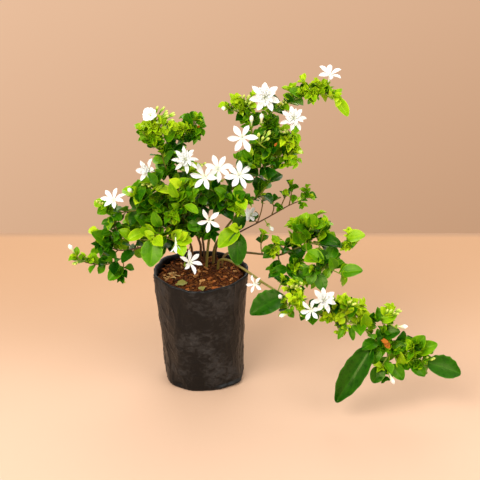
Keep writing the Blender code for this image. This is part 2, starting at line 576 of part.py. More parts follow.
def grow(bm, face, sections):
    """Draws a face of a bar out into a blade through the sections, to a point at the last."""
    face_middle = face.calc_center_median()
    first = sections[0]
    middle = sum(first, Vector()) / 4
    corners = list(face.verts)

    def match(turn):
        return sum((corners[(i + turn) % 4].co - face_middle).normalized().dot(
            (first[i] - middle).normalized()) for i in range(4))

    best = max(range(4), key=match)
    old = [corners[(i + best) % 4] for i in range(4)]
    for section in sections:
        face = bmesh.ops.extrude_discrete_faces(bm, faces=[face])["faces"][0]
        new = [min(face.verts, key=lambda v: (v.co - corner.co).length) for corner in old]
        split_alike(bm, old, new)
        for vertex, place in zip(new, section):
            vertex.co = place
        old = new
    for pair in ((0, 3), (1, 2)):
        ends = [old[i] for i in pair]
        bmesh.ops.pointmerge(bm, verts=ends, merge_co=(ends[0].co + ends[1].co) / 2)


class Room:
    """What each node already holds, so that a new blade can be tried against it."""

    def __init__(self):
        self.held = []

    def bounds(self, points):
        low = Vector([min(p[i] for p in points) for i in range(3)])
        high = Vector([max(p[i] for p in points) for i in range(3)])
        return low, high

    def hold(self, node, kind, bm):
        low, high = self.bounds([v.co for v in bm.verts])
        self.held.append((node, kind, low, high, BVHTree.FromBMesh(bm)))

    def hold_object(self, node, kind, obj):
        bm = bmesh.new()
        bm.from_object(obj, bpy.context.evaluated_depsgraph_get())
        self.hold(node, kind, bm)
        bm.free()

    def crossed(self, bm, wanted):
        """Whether the blade would run into something that the test asks for."""
        low, high = self.bounds([v.co for v in bm.verts])
        tree = BVHTree.FromBMesh(bm)
        for node, kind, start, end, other in self.held:
            apart = any(low[i] > end[i] or high[i] < start[i] for i in range(3))
            if not apart and wanted(node, kind) and tree.overlap(other):
                return True
        return False


def slab(sections):
    """A closed blade by itself, with the corners that meet at its tip made one."""
    bm = bmesh.new()
    loft(bm, sections)
    bmesh.ops.remove_doubles(bm, verts=bm.verts, dist=MERGE)
    return bm


def leaf_fits(room, node, leaf):
    """Whether the leaf, with some room round it, runs into nothing but its own twig."""
    root, tip, up, width, arch = leaf
    longer = tip + (tip - root).normalized() * LEAF_CLEAR
    sections = leaf_sections(root, longer, up, width + 2 * LEAF_CLEAR, LEAF_NECK + SMALL_SHARES,
                             arch, LEAF_THICK + 2 * LEAF_CLEAR)
    whole = slab(sections)
    hit = room.crossed(whole, lambda name, kind: name != node)
    whole.free()
    if hit:
        return False
    outer = slab(sections[1:])
    hit = room.crossed(outer, lambda name, kind: name == node)
    outer.free()
    return not hit


def leaf_up(root, rng):
    """Up, turned outwards from the plant's middle and towards the front, so faces catch light."""
    away = Vector((root.x - PLANT_AXIS.x, root.y - PLANT_AXIS.y, 0))
    away = away.normalized() if away.length > 0.001 else Vector((0, -1, 0))
    sway = Vector((rng.uniform(-1, 1), rng.uniform(-1, 1), 0)) * 0.35
    return (Vector((0, -0.25, 1)) + away * 0.45 + sway).normalized()


def leaf_tip(point, way, side, swing, lift, length):
    """The tip of a leaf that leaves its twig sideways, swung round it and lifted a little."""
    side = side.copy()
    side.rotate(Quaternion(way, swing))
    out = way * math.cos(LEAF_SPREAD) + side * math.sin(LEAF_SPREAD)
    out.z += lift
    return point + out.normalized() * length


def place_leaf(room, node, point, way, side, radius, size, rng):
    """The first try that runs into nothing, or nothing where none does."""
    up = leaf_up(point, rng)
    arch = LEAF_ARCH * rng.uniform(0.4, 1.8)
    width = LEAF_WIDTH * rng.uniform(0.88, 1.12)
    for swing, lift, share in LEAF_TRIES:
        length = size * share
        tip = leaf_tip(point, way, side, swing, lift, length)
        line = (tip - point).normalized()
        if abs(line.dot(up)) > LEAF_ENDWISE:
            continue
        leaf = (point + line * radius, tip, up, length * width, arch)
        if leaf_fits(room, node, leaf):
            return leaf
    return None


def hold_leaf(room, node, leaf):
    root, tip, up, width, arch = leaf
    bm = slab(leaf_sections(root, tip, up, width, LEAF_NECK[1:] + SMALL_SHARES, arch, LEAF_THICK))
    room.hold(node, "leaf", bm)
    bm.free()


def free_seat(taken, distance, length):
    """The distance nearest to the wanted one that keeps clear of the seats already taken."""
    for step in range(60):
        for sign in (1, -1):
            found = distance + sign * step * SEAT_HALF / 2
            inside = SEAT_HALF * 2 < found < length - SEAT_HALF * 1.5
            if inside and all(abs(found - other) > 2.5 * SEAT_HALF for other in taken):
                return found
    return None


def build_large_leaf(room, routes, number, entry, collection):
    """One of the large leaves, with its stalk from the nearest twig of its stem."""
    node, root, tip, width, front = entry
    start = mm(root)
    seat = nearest_on_stem(routes, node, start)
    up = Vector((0, -front, 1)).normalized()
    end = mm(tip)
    blade_way = (end - start).normalized()
    stalk_way = (start - seat).normalized()
    if (seat - start).length < STALK_LEAST or stalk_way.dot(blade_way) < STALK_FOLD:
        start = seat
        blade_way = stalk_way = (end - seat).normalized()
    bends = [(seat, stalk_way)]
    if start is not seat:
        bends.append((start, stalk_way + blade_way))
    sections = []
    for place, way in bends:
        sections += leaf_sections(place, place + way, up, STALK_THICK, ((0.0, 1.0),), 0, STALK_THICK)
    sections += leaf_sections(start, end, up, width * MM, LARGE_SHARES, LARGE_ARCH, LEAF_THICK)
    bm = slab(sections)
    room.hold(node, "leaf", bm)
    return add_object(f"{node}_large_leaf_{number}", mesh_from(bm, node), collection)


def grow_leaves(room, routes, rng):
    """The seat and the measures of each small leaf, by twig."""
    seats = {key: [] for key in routes}
    for (node, number), route in routes.items():
        first_radius, last_radius, (pairs, first, last, start), _ = STEMS[node][number]
        length = route.starts[-1]
        taken = []
        turn = rng.randrange(2)
        for pair in range(pairs):
            step = pair / max(pairs - 1, 1)
            distance = free_seat(taken, length * (start + (1 - start) * step), length)
            if distance is None:
                continue
            taken.append(distance)
            point, way, across = route.at(distance)
            radius = (first_radius + (last_radius - first_radius) * distance / length) * MM
            for half in (0, 2):
                face = (turn + pair + half) % 4
                side = across.copy()
                side.rotate(Quaternion(way, face * math.pi / 2))
                size = (first + (last - first) * step) * MM * LEAF_SIZE * rng.uniform(0.88, 1.12)
                leaf = place_leaf(room, node, point, way, side, radius, size, rng)
                if leaf:
                    seats[node, number].append((distance, face, leaf))
                    hold_leaf(room, node, leaf)
    return seats


def twig_rings(route, seats):
    """The distances of the rings along a twig: its own corners, and two at each leaf seat."""
    spots = sorted({distance for distance, _, _ in seats})
    edges = [(spot - SEAT_HALF, spot + SEAT_HALF) for spot in spots]
    rings = [(low, "seat") for low, _ in edges] + [(high, "seat") for _, high in edges]
    for number, distance in enumerate(route.starts):
        if all(distance < low - SEAT_CLEAR or distance > high + SEAT_CLEAR for low, high in edges):
            rings.append((distance, number))
    return sorted(rings, key=lambda item: item[0])


def build_twig(name, route, first, last, seats, collection):
    """A tapering four-sided bar along the route, with its leaves drawn out of its sides."""
    rings = []
    placed = []
    for distance, kind in twig_rings(route, seats):
        point, way, across = route.at(distance) if kind == "seat" else route.corner(kind)
        radius = (first + (last - first) * distance / route.starts[-1]) * MM
        rings.append(ring(point, way, across, radius, 4))
        placed.append(distance)
    bm = bmesh.new()
    bands = loft(bm, rings)
    for distance, side, leaf in seats:
        band = max(i for i in range(len(placed)) if placed[i] < distance)
        root, tip, up, width, arch = leaf
        sections = leaf_sections(root, tip, up, width, SMALL_SHARES, arch, LEAF_THICK)
        grow(bm, bands[band][side], sections)
    return add_object(name, mesh_from(bm, name), collection)


def nearest_on_stem(routes, node, place):
    """The nearest point on the middle line of the stem's twigs."""
    options = [(routes[key].nearest(place), key) for key in routes if key[0] == node]
    (_, distance), key = min(options, key=lambda option: option[0][0])
    return routes[key].at(min(distance, routes[key].starts[-1] - STALK_SUNK))[0]


def stalk(room, routes, node, name, seat, collection):
    """The calyx under a flower or a bud and the stalk from it to the nearest twig."""
    place, axis = seat
    foot = place - axis * CALYX_LENGTH
    root = nearest_on_stem(routes, node, foot - axis * CALYX_DROP)
    points = [root, foot, place]
    radii = FLOWER_STALK
    if (foot - root).length < FLOWER_STALK[-1]:
        points = [root, place]
        radii = SHORT_STALK
    bar = tube(name, points, radii, 4, collection)
    room.hold_object(node, "twig", bar)
    return bar


def build_flower(room, name, entry, collection):
    """A slender tube that opens into its petals, drawn out of its throat in one or two whorls."""
    _, place, facing, outer, inner, length, opening, own_turn = entry
    eye = mm(place)
    axis = Vector(facing).normalized()
    across = axis.cross(Vector((0, 0, 1))).normalized()
    across.rotate(Quaternion(axis, math.radians(own_turn)))
    foot = eye - axis * TUBE_LENGTH
    half = math.pi / outer
    narrow = THROAT * 0.8
    rings = [ring(foot, axis, across, TUBE_RADIUS, outer),
             ring(eye - axis * THROAT_LIP / 2, axis, across, narrow, outer),
             ring(eye + axis * THROAT_LIP / 2, axis, across, THROAT, outer)]
    if inner:
        rise = THROAT_LIP / 2 + THROAT_STEP
        rings.append(ring(eye + axis * rise, axis, across, narrow, outer, half))
        rings.append(ring(eye + axis * (rise + THROAT_LIP), axis, across, narrow, outer, half))
    bm = bmesh.new()
    bands = loft(bm, rings)
    whorls = [(1, outer, 1.0, opening, 0.0, 0.0)]
    if inner:
        whorls.append((3, inner, INNER_SHARE, opening - INNER_CLOSER, half, rise + THROAT_LIP / 2))
    for band, count, share, spread, turn, raised in whorls:
        for number in range(count):
            side = across.copy()
            side.rotate(Quaternion(axis, turn + 2 * math.pi * number / outer))
            open_by = math.radians(spread) + 0.10 * math.sin(3.1 * number + own_turn)
            out = axis * math.cos(open_by) + side * math.sin(open_by)
            start = eye + axis * raised + side * narrow
            tip = start + out * (length * MM - THROAT) * share
            sections = leaf_sections(start, tip, axis - side * 0.2, length * PETAL_WIDTH * MM,
                                     PETAL_SHARES, 0.05, PETAL_THICK)
            grow(bm, bands[band][number], sections)
    flower = add_object(name, mesh_from(bm, name), collection)
    room.hold_object(name, "flower", flower)
    return flower, (foot - axis * GAP, axis)


def build_bud(room, name, entry, collection):
    _, tip, facing, length = entry
    axis = Vector(facing).normalized()
    end = mm(tip)
    size = length * MM
    points = [end - axis * (size * share) for share in WHITE_BUD_SHARES]
    bud = tube(name, points, WHITE_BUD, 4, collection)
    room.hold_object(name, "bud", bud)
    return bud, (points[0] - axis * GAP, axis)


def build_green_buds(room, routes, made, collection):
    """Clusters of small green buds, each on a stalk to the nearest twig."""
    rng = random.Random(LEAF_SEED + 1)
    for number, (node, place, reach, count, length) in enumerate(GREEN_BUDS):
        middle = mm(place)
        root = nearest_on_stem(routes, node, middle - Vector((0, 0, 0.006)))
        for bud in range(count):
            angle = 2 * math.pi * bud / count + rng.uniform(-0.4, 0.4)
            shift = Vector((math.cos(angle), 0.6 * math.sin(angle), 0.5 * math.sin(2 * angle)))
            tip = middle + shift * (reach * MM * rng.uniform(0.55, 0.9))
            way = (tip - root).normalized()
            belly = tip - way * (length * GREEN_BUD_BELLY * MM)
            bar = tube(f"{node}_bud_{number}_{bud}", [root, belly, tip], GREEN_BUD, 4, collection)
            made[node].append(bar)
            room.hold_object(node, "twig", bar)


def joined(body, pieces):
    """One Boolean union of all the pieces with the body, applied, and the pieces removed."""
    group = bpy.data.collections.new(body.name + "_pieces")
    for piece in pieces:
        group.objects.link(piece)
    union = body.modifiers.new("Union", "BOOLEAN")
    union.operation = "UNION"
    union.operand_type = "COLLECTION"
    union.collection = group
    union.solver = "EXACT"
    freeze(body)
    for piece in pieces:
        bpy.data.objects.remove(piece, do_unlink=True)
    bpy.data.collections.remove(group)
    return body


def build_litter(soil, parts):
    """Fallen leaves and chips of husk that lie on the coir."""
    rng = random.Random(LITTER_SEED)
    for name, ((x, y), length, width, thick, turn) in LITTER.items():
        way = Vector((math.cos(math.radians(turn)), math.sin(math.radians(turn)), 0))
        across = Vector((-way.y, way.x, 0))
        low = Vector((x, y, 0)) * MM
        bm = bmesh.new()
        bmesh.ops.create_cube(bm, size=1)
        for vertex in bm.verts:
            shrink = LITTER_TAPER[vertex.co.x > 0]
            place = way * (vertex.co.x * length * MM)
            place += across * (vertex.co.y * width * MM * shrink * rng.uniform(0.85, 1.0))
            place.z = (vertex.co.z + 0.5) * thick * MM
            vertex.co = low + place
        bmesh.ops.triangulate(bm, faces=bm.faces)
        chip = add_object(name, mesh_from(bm, name), parts)
        chip.data.transform(rest_on_soil(soil, chip))
        colour = STRAW if "chip" in name else LEAF_GREEN
        chip.data.materials.append(plain_material(name, colour, 0.8))


def rest_on_soil(soil, chip):
    """The lift that brings the chip down to just clear of the highest coir under it."""
    bm = bmesh.new()
    bm.from_mesh(soil.data)
    tree = BVHTree.FromBMesh(bm)
    bm.free()
    lift = -1.0
    corners = [vertex.co for vertex in chip.data.vertices]
    for first in corners:
        for second in corners:
            for share in (0, 0.25, 0.5):
                place = first.lerp(second, share)
                over = Vector((place.x, place.y, 2 * BAG_HEIGHT))
                hit = tree.ray_cast(over, Vector((0, 0, -1)))[0]
                lift = max(lift, hit.z - place.z)
    return Matrix.Translation((0, 0, lift + GAP))


def cut_stem_holes(soil, cutters):
    """A plain hole in the coir for the foot of each stem."""
    for node, twigs in STEMS.items():
        thick, _, _, route = twigs[0]
        foot = mm(route[0]) - Vector((0, 0, HOLE_DEEPER * MM))
        head = mm(route[1]) + Vector((0, 0, 0.004))
        wide = thick * MM + HOLE_WIDER
        cutter = tube(node + "_hole", [foot, head], [wide, wide], 6, cutters)
        cutter.hide_render = True
        cutter.display_type = "WIRE"
        cut = soil.modifiers.new("Hole", "BOOLEAN")
        cut.operation = "DIFFERENCE"
        cut.object = cutter
        cut.solver = "EXACT"
    freeze(soil)


def main():
    clear_scene()
    parts = new_collection("potted_star_jasmine")
    cutters = new_collection("cutters")
    cutters.hide_render = True
    room = Room()
    bag = build_bag(parts)
    soil = build_soil(parts)
    room.hold_object(bag.name, "pot", bag)
    room.hold_object(soil.name, "pot", soil)
    routes = {(node, number): Route(smooth_route(twig[3]))
              for node, twigs in STEMS.items() for number, twig in enumerate(twigs)}
    for (node, number), route in routes.items():
        first, last, _, _ = STEMS[node][number]
        bare = build_twig("bare", route, first, last, [], parts)
        room.hold_object(node, "twig", bare)
        bpy.data.objects.remove(bare, do_unlink=True)
    pieces = {node: [] for node in STEMS}
    for name, entry in FLOWERS.items():
        flower, seat = build_flower(room, name, entry, parts)
        flower.data.materials.append(plain_material(name, PETAL_WHITE, 0.5))
        pieces[entry[0]].append(stalk(room, routes, entry[0], name + "_stalk", seat, parts))
    for name, entry in BUDS.items():
        bud, seat = build_bud(room, name, entry, parts)
        bud.data.materials.append(plain_material(name, PETAL_WHITE, 0.5))
        pieces[entry[0]].append(stalk(room, routes, entry[0], name + "_stalk", seat, parts))
    build_green_buds(room, routes, pieces, parts)
    for number, entry in enumerate(LARGE_LEAVES):
        leaf = build_large_leaf(room, routes, number, entry, parts)
        pieces[entry[0]].append(leaf)
    seats = grow_leaves(room, routes, random.Random(LEAF_SEED))
    for (node, number), route in routes.items():
        first, last, _, _ = STEMS[node][number]
        twig = build_twig(f"{node}_{number}", route, first, last, seats[node, number], parts)
        pieces[node].insert(number, twig)
    cut_stem_holes(soil, cutters)
    build_litter(soil, parts)
    for node, bars in pieces.items():
        stem = joined(bars[0], bars[1:])
        stem.name = node
        stem.data.materials.append(plain_material(node, LEAF_GREEN, 0.4))
    for obj in parts.objects:
        obj.data.shade_smooth()


main()
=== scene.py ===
"""The looks of a potted star jasmine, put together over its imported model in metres, with +Z up
and the middle of the bag's base at the origin."""

import json
import math
import random

import bmesh
import bpy
from mathutils import Matrix, Quaternion, Vector, kdtree, noise

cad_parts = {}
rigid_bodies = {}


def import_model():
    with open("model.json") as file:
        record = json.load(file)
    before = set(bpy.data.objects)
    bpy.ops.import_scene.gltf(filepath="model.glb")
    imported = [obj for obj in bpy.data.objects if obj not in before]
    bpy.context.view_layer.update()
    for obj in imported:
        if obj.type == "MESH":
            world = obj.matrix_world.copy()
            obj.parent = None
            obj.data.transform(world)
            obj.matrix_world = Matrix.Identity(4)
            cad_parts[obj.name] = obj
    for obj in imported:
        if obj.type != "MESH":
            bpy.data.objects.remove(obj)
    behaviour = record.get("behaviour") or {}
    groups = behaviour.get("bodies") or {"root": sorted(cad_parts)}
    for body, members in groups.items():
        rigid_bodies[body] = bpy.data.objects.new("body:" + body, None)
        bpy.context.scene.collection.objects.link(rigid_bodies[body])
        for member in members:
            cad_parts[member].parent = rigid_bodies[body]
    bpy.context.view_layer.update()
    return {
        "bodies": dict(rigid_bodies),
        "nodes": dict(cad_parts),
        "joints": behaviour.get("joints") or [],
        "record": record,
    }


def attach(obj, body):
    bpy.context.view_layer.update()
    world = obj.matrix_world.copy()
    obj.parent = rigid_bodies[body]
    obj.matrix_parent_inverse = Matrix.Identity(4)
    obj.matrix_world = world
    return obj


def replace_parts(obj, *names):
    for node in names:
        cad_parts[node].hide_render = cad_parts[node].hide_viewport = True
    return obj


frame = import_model()


# The studio. The plant stands on a sheet of pale peach paper in front of a wall of a like
# colour. A big soft window lights it from the left and the front, and the room fills the rest.
# Painted light: the paper's colour is paler near the window and darker towards the back, with painted shade where its
# back edge meets the wall, and the wall seen behind is painted from lit to dim.
PAPER_REACH = 2.6
PAPER_BACK = 0.482  # where the paper ends behind the bag, and the wall shows
PAPER_DROP = 0.0003
LOOK_DOWN = math.radians(24.7)
EYE = (0.0492, -1.5445, 0.9184)
LENS = 93.75
WALL_LIT = (0.823, 0.521, 0.337, 1)
WALL_DIM = (0.545, 0.315, 0.185, 1)
PAPER_NEAR_LIT = (0.72, 0.478, 0.330, 1)
PAPER_FAR_DIM = (0.60, 0.338, 0.182, 1)
PAPER_EDGE_SHADE = (0.47, 0.272, 0.160, 1)


def put(tree, kind, inputs=None, **settings):
    """A new node with its settings, its inputs set to values or joined to other outputs."""
    made = tree.nodes.new(kind)
    for name, value in settings.items():
        setattr(made, name, value)
    for name, value in (inputs or {}).items():
        if isinstance(value, bpy.types.NodeSocket):
            tree.links.new(value, made.inputs[name])
        else:
            made.inputs[name].default_value = value
    return made


def mixed(tree, factor, first, second):
    """Two colours mixed by a factor."""
    mix = put(tree, "ShaderNodeMix", data_type="RGBA")
    for socket, value in ((0, factor), (6, first), (7, second)):
        if isinstance(value, bpy.types.NodeSocket):
            tree.links.new(value, mix.inputs[socket])
        else:
            mix.inputs[socket].default_value = value
    return mix.outputs[2]


def ramp(tree, factor, stops):
    """A colour ramp through stops of position and colour."""
    hue = put(tree, "ShaderNodeValToRGB", {"Fac": factor})
    for number, (spot, colour) in enumerate(stops):
        mark = hue.color_ramp.elements[number] if number < 2 else hue.color_ramp.elements.new(spot)
        mark.position = spot
        mark.color = (*colour, 1)
    return hue.outputs["Color"]


def blank_material(name):
    """A material with nothing but its Principled shader. Gives the material, tree and shader."""
    made = bpy.data.materials.new(name)
    made.use_nodes = True
    tree = made.node_tree
    return made, tree, tree.nodes["Principled BSDF"]


bpy.ops.object.select_all(action="DESELECT")
bpy.ops.mesh.primitive_plane_add(size=1, location=(0, 0, 0))
paper = bpy.context.object
paper.name = "paper"
bpy.ops.transform.resize(value=(2 * PAPER_REACH, PAPER_REACH + PAPER_BACK, 1))
bpy.ops.transform.translate(value=(0, (PAPER_BACK - PAPER_REACH) / 2, -PAPER_DROP))
bpy.ops.object.transform_apply(location=True, rotation=True, scale=True)
paper_material, tree, shader = blank_material("peach_paper")
spots = put(tree, "ShaderNodeTexCoord")
cloud = put(tree, "ShaderNodeTexNoise", {"Vector": spots.outputs["Object"], "Scale": 3.0})
deep = put(tree, "ShaderNodeSeparateXYZ", {0: spots.outputs["Object"]})
cloudy = put(tree, "ShaderNodeMath", {0: cloud.outputs["Fac"], 1: 0.12, 2: deep.outputs["Y"]},
             operation="MULTIPLY_ADD")
# Painted light falloff: the paper goes from its lit near colour to its dim far colour towards the back, a little
# cloudy.
far = put(tree, "ShaderNodeMapRange", {"Value": cloudy.outputs[0], "From Min": -0.20, "From Max": 0.50},
          interpolation_type="SMOOTHSTEP")
# Painted shade along the paper's back edge, where the wall shows.
edge_shade = put(tree, "ShaderNodeMapRange", {"Value": deep.outputs["Y"], "From Min": PAPER_BACK - 0.022,
                                        "From Max": PAPER_BACK}, interpolation_type="SMOOTHSTEP")
sheet = mixed(tree, far.outputs[0], PAPER_NEAR_LIT, PAPER_FAR_DIM)
tree.links.new(mixed(tree, edge_shade.outputs[0], sheet, PAPER_EDGE_SHADE), shader.inputs["Base Color"])
shader.inputs["Roughness"].default_value = 0.8
paper.data.materials.append(paper_material)

for name, place, aim, size, power in (
        ("window", (-0.95, -1.25, 1.55), (0.04, 0, 0.18), 1.3, 40),
        ("room_right", (1.3, -0.9, 1.1), (0.04, 0, 0.2), 1.4, 17),
        ("room_back", (0.1, 1.3, 1.4), (0.04, 0, 0.2), 1.4, 14)):
    bpy.ops.object.light_add(type="AREA", location=place)
    lamp = bpy.context.object
    lamp.name = name
    lamp.data.size = size
    lamp.data.energy = power
    lamp.rotation_euler = (Vector(aim) - Vector(place)).to_track_quat("-Z", "Y").to_euler()

studio = bpy.data.worlds.new("studio")
studio.use_nodes = True
bpy.context.scene.world = studio
tree = studio.node_tree
tree.nodes.clear()
seen = put(tree, "ShaderNodeLightPath")
air = put(tree, "ShaderNodeBackground", {"Color": (1.0, 0.93, 0.83, 1), "Strength": 0.60})
way = put(tree, "ShaderNodeNewGeometry")
parts = put(tree, "ShaderNodeSeparateXYZ", {0: way.outputs["Incoming"]})
# Painted light and shade on the wall seen behind: its colour goes from lit to dim with the direction the camera looks,
# across and up.
rightwards = put(tree, "ShaderNodeMapRange", {"Value": parts.outputs["X"], "From Min": 0.2,
                                              "From Max": -0.2})
downwards = put(tree, "ShaderNodeMapRange", {"Value": parts.outputs["Z"], "From Min": 0.24,
                                             "From Max": 0.42, "To Max": 0.9})
both = put(tree, "ShaderNodeMath", {0: rightwards.outputs[0], 1: downwards.outputs[0]}, operation="ADD")
half = put(tree, "ShaderNodeMath", {0: both.outputs[0], 1: 0.5}, operation="MULTIPLY")
wall = put(tree, "ShaderNodeBackground", {"Color": mixed(tree, half.outputs[0], WALL_LIT, WALL_DIM),
                                          "Strength": 1.0})
either = put(tree, "ShaderNodeMixShader", {0: seen.outputs["Is Camera Ray"],
                                           1: air.outputs[0], 2: wall.outputs[0]})
put(tree, "ShaderNodeOutputWorld", {"Surface": either.outputs[0]})

bpy.ops.object.camera_add(location=EYE, rotation=(math.pi / 2 - LOOK_DOWN, 0, 0))
camera = bpy.context.object
camera.data.sensor_width = 36
camera.data.lens = LENS
bpy.context.scene.camera = camera
bpy.context.scene.view_settings.view_transform = "Standard"


# The nursery bag. It is a sleeve of thin black polythene with a welded flat foot, filled until
# it stands round, with its mouth turned in once. Handling has left it creased and dusty.
BAG_TOP_RADIUS = 0.0642
BAG_BASE_RADIUS = 0.0527
BAG_HEIGHT = 0.163
BAG_LEAN = -0.0048
FILM = 0.0004
FILM_SIDES = 240
FOOT_TURN = 0.0025  # radius of the turn between the foot and the wall
WALL_ROWS = 74
MOUTH = ((-0.0003, 0.0006), (-0.0012, 0.0012), (-0.0024, 0.0010), (-0.0035, 0.0001), (-0.0041, -0.0016),
         (-0.0042, -0.0045), (-0.0042, -0.0085))  # the turned-in mouth, from the wall's top
SEAL_FROM, SEAL_TO = math.radians(-72), math.radians(-18)  # where the foot's weld stands proud
NOTCH_AT = math.radians(-128)
FOOT_CORNERS = ((math.radians(-172), 0.0042, 0.62, 0.042), (math.radians(-143), 0.0042, 0.26, 0.018),
                (math.radians(-30), 0.0036, 0.30, 0.020))  # its turn, how far out, its width, its height


def pick(piece, test):
    """Selects the points of the piece that pass the test, in edit mode."""
    points = bmesh.from_edit_mesh(piece.data)
    for point in points.verts:
        point.select_set(test(point.co))
    points.select_flush_mode()
    bmesh.update_edit_mesh(piece.data)


def draw_rings(name, sides, rows):
    """A round piece drawn up ring by ring from a small disc, through rows of radius and height."""
    radius, height = rows[0]
    bpy.ops.object.select_all(action="DESELECT")
    bpy.ops.mesh.primitive_circle_add(vertices=sides, radius=radius, fill_type="TRIFAN",
                                      location=(0, 0, height))
    piece = bpy.context.object
    piece.name = name
    bpy.ops.object.transform_apply(location=True, rotation=True, scale=True)
    bpy.ops.object.mode_set(mode="EDIT")
    pick(piece, lambda co: co.xy.length > radius / 2)
    for (was, low), (now, high) in zip(rows, rows[1:]):
        bpy.ops.mesh.extrude_region_move(TRANSFORM_OT_translate={"value": (0, 0, high - low)})
        bpy.ops.transform.resize(value=(now / was, now / was, 1), center_override=(0, 0, high))
    return piece


def bump_at(value, middle, width):
    return math.exp(-((value - middle) / width) ** 2)


def bag_bulge(turn, rise):
    """The same soft swells as the model's wall."""
    wide = 0.0012 * math.sin(3 * turn + 1.1 + 1.7 * rise)
    mid = 0.0008 * math.sin(5 * turn - 0.7 - 2.4 * rise)
    fine = 0.0005 * math.sin(9 * turn + 0.4 + 3.0 * rise)
    waist = -0.0016 * math.sin(math.pi * rise) * math.cos(turn)
    return wide + mid + fine + waist


def creases(turn, height):
    """Long folds down the film, small dents, and the weld and the notch at its foot."""
    round_place = Vector((math.cos(turn), math.sin(turn), 0))
    folds = noise.noise(round_place * 3.4 + Vector((0, 0, height * 9)))
    dents = noise.noise(round_place * 7 + Vector((5, 2, height * 45)))
    ridge = 1 - abs(noise.noise(round_place * 5.5 + Vector((1, 7, height * 34)))) * 2
    made = 0.0010 * folds + 0.0006 * dents + 0.0010 * max(ridge, 0) ** 7
    made += 0.0007 * math.sin(13 * turn + 2 * folds) * bump_at(height, BAG_HEIGHT, 0.018)
    sealed = 1 / (1 + math.exp((abs(turn - (SEAL_FROM + SEAL_TO) / 2) - 0.42) * 14))
    made += sealed * (0.0016 * bump_at(height, 0.0035, 0.0016) - 0.0016 * bump_at(height, 0.0085, 0.0026))
    for corner, out, width, rise in FOOT_CORNERS:
        made += out * bump_at(math.remainder(turn - corner, 2 * math.pi), 0, width) * bump_at(height, 0.0, rise)
    notch = bump_at(turn, NOTCH_AT, 0.10)
    return made - 0.0026 * notch * bump_at(height, 0.008, 0.004)


def bag_place(point, inset, creased):
    """Where a point of the straight round bag lies on the soft, leaning one."""
    turn = math.atan2(point.y, point.x)
    rise = point.z / BAG_HEIGHT
    reach = math.hypot(point.x, point.y)
    full = BAG_BASE_RADIUS + (BAG_TOP_RADIUS - BAG_BASE_RADIUS) * rise
    share = reach / full
    reach = share * (full + bag_bulge(turn, rise) - inset)
    if creased:
        reach += creases(turn, point.z) * min(share, 1) ** 12
    lift = 0.0028 * math.cos(2 * turn) + 0.0008 * math.sin(5 * turn + 0.6)
    return Vector((reach * math.cos(turn) + BAG_LEAN * rise, reach * math.sin(turn),
                   point.z + lift * rise ** 4 * min(share, 1) ** 6))


def wall_radius(height):
    return BAG_BASE_RADIUS + (BAG_TOP_RADIUS - BAG_BASE_RADIUS) * height / BAG_HEIGHT


foot_in = BAG_BASE_RADIUS - FOOT_TURN
rows = [(foot_in * share, 0) for share in (0.3, 0.6, 0.85, 0.96, 1)]
for step in (1, 2, 3):
    angle = step * math.pi / 6
    rows.append((foot_in + FOOT_TURN * math.sin(angle), FOOT_TURN * (1 - math.cos(angle))))
rise_left = BAG_HEIGHT - FOOT_TURN
for row in range(1, WALL_ROWS + 1):
    height = FOOT_TURN + rise_left * (row / WALL_ROWS) ** 1.15
    rows.append((wall_radius(height), height))
rows += [(BAG_TOP_RADIUS + inwards, BAG_HEIGHT + up) for inwards, up in MOUTH]
bag = draw_rings("bag_film", FILM_SIDES, rows)
bpy.ops.mesh.select_all(action="SELECT")
bpy.ops.mesh.normals_make_consistent(inside=False)
bpy.ops.object.mode_set(mode="OBJECT")
for point in bag.data.vertices:
    point.co = bag_place(point.co, 0, True)
film = bag.modifiers.new("Film", "SOLIDIFY")
film.thickness = FILM
film.offset = -1
bpy.ops.object.modifier_apply(modifier=film.name)
bpy.ops.object.shade_smooth()


def dust_group():
    """Dry dust that has settled in patches and streaks. Puts out how much of it lies where."""
    tree = bpy.data.node_groups.new("dust", "ShaderNodeTree")
    for socket, value in (("Scale", 60.0), ("Streak", 0.25), ("Amount", 0.5)):
        tree.interface.new_socket(socket, in_out="INPUT", socket_type="NodeSocketFloat")
        tree.interface.items_tree[socket].default_value = value
    tree.interface.new_socket("Dust", in_out="OUTPUT", socket_type="NodeSocketFloat")
    given = put(tree, "NodeGroupInput")
    place = put(tree, "ShaderNodeTexCoord")
    flat = put(tree, "ShaderNodeCombineXYZ", {"X": 1.0, "Y": 1.0, "Z": given.outputs["Streak"]})
    drawn = put(tree, "ShaderNodeVectorMath", {0: place.outputs["Object"], 1: flat.outputs[0]},
                operation="MULTIPLY")
    patch = put(tree, "ShaderNodeTexNoise", {"Vector": drawn.outputs[0],
                                             "Scale": given.outputs["Scale"], "Detail": 5.0,
                                             "Roughness": 0.65, "Distortion": 1.2})
    large = put(tree, "ShaderNodeTexNoise", {"Vector": place.outputs["Object"], "Scale": 24.0,
                                             "Detail": 2.0})
    both = put(tree, "ShaderNodeMath", {0: patch.outputs["Fac"], 1: large.outputs["Fac"]},
               operation="MULTIPLY")
    kept = put(tree, "ShaderNodeMapRange", {"Value": both.outputs[0], "From Min": 0.24,
                                            "From Max": 0.43, "To Max": given.outputs["Amount"]})
    out = put(tree, "NodeGroupOutput")
    tree.links.new(kept.outputs[0], out.inputs["Dust"])
    return tree


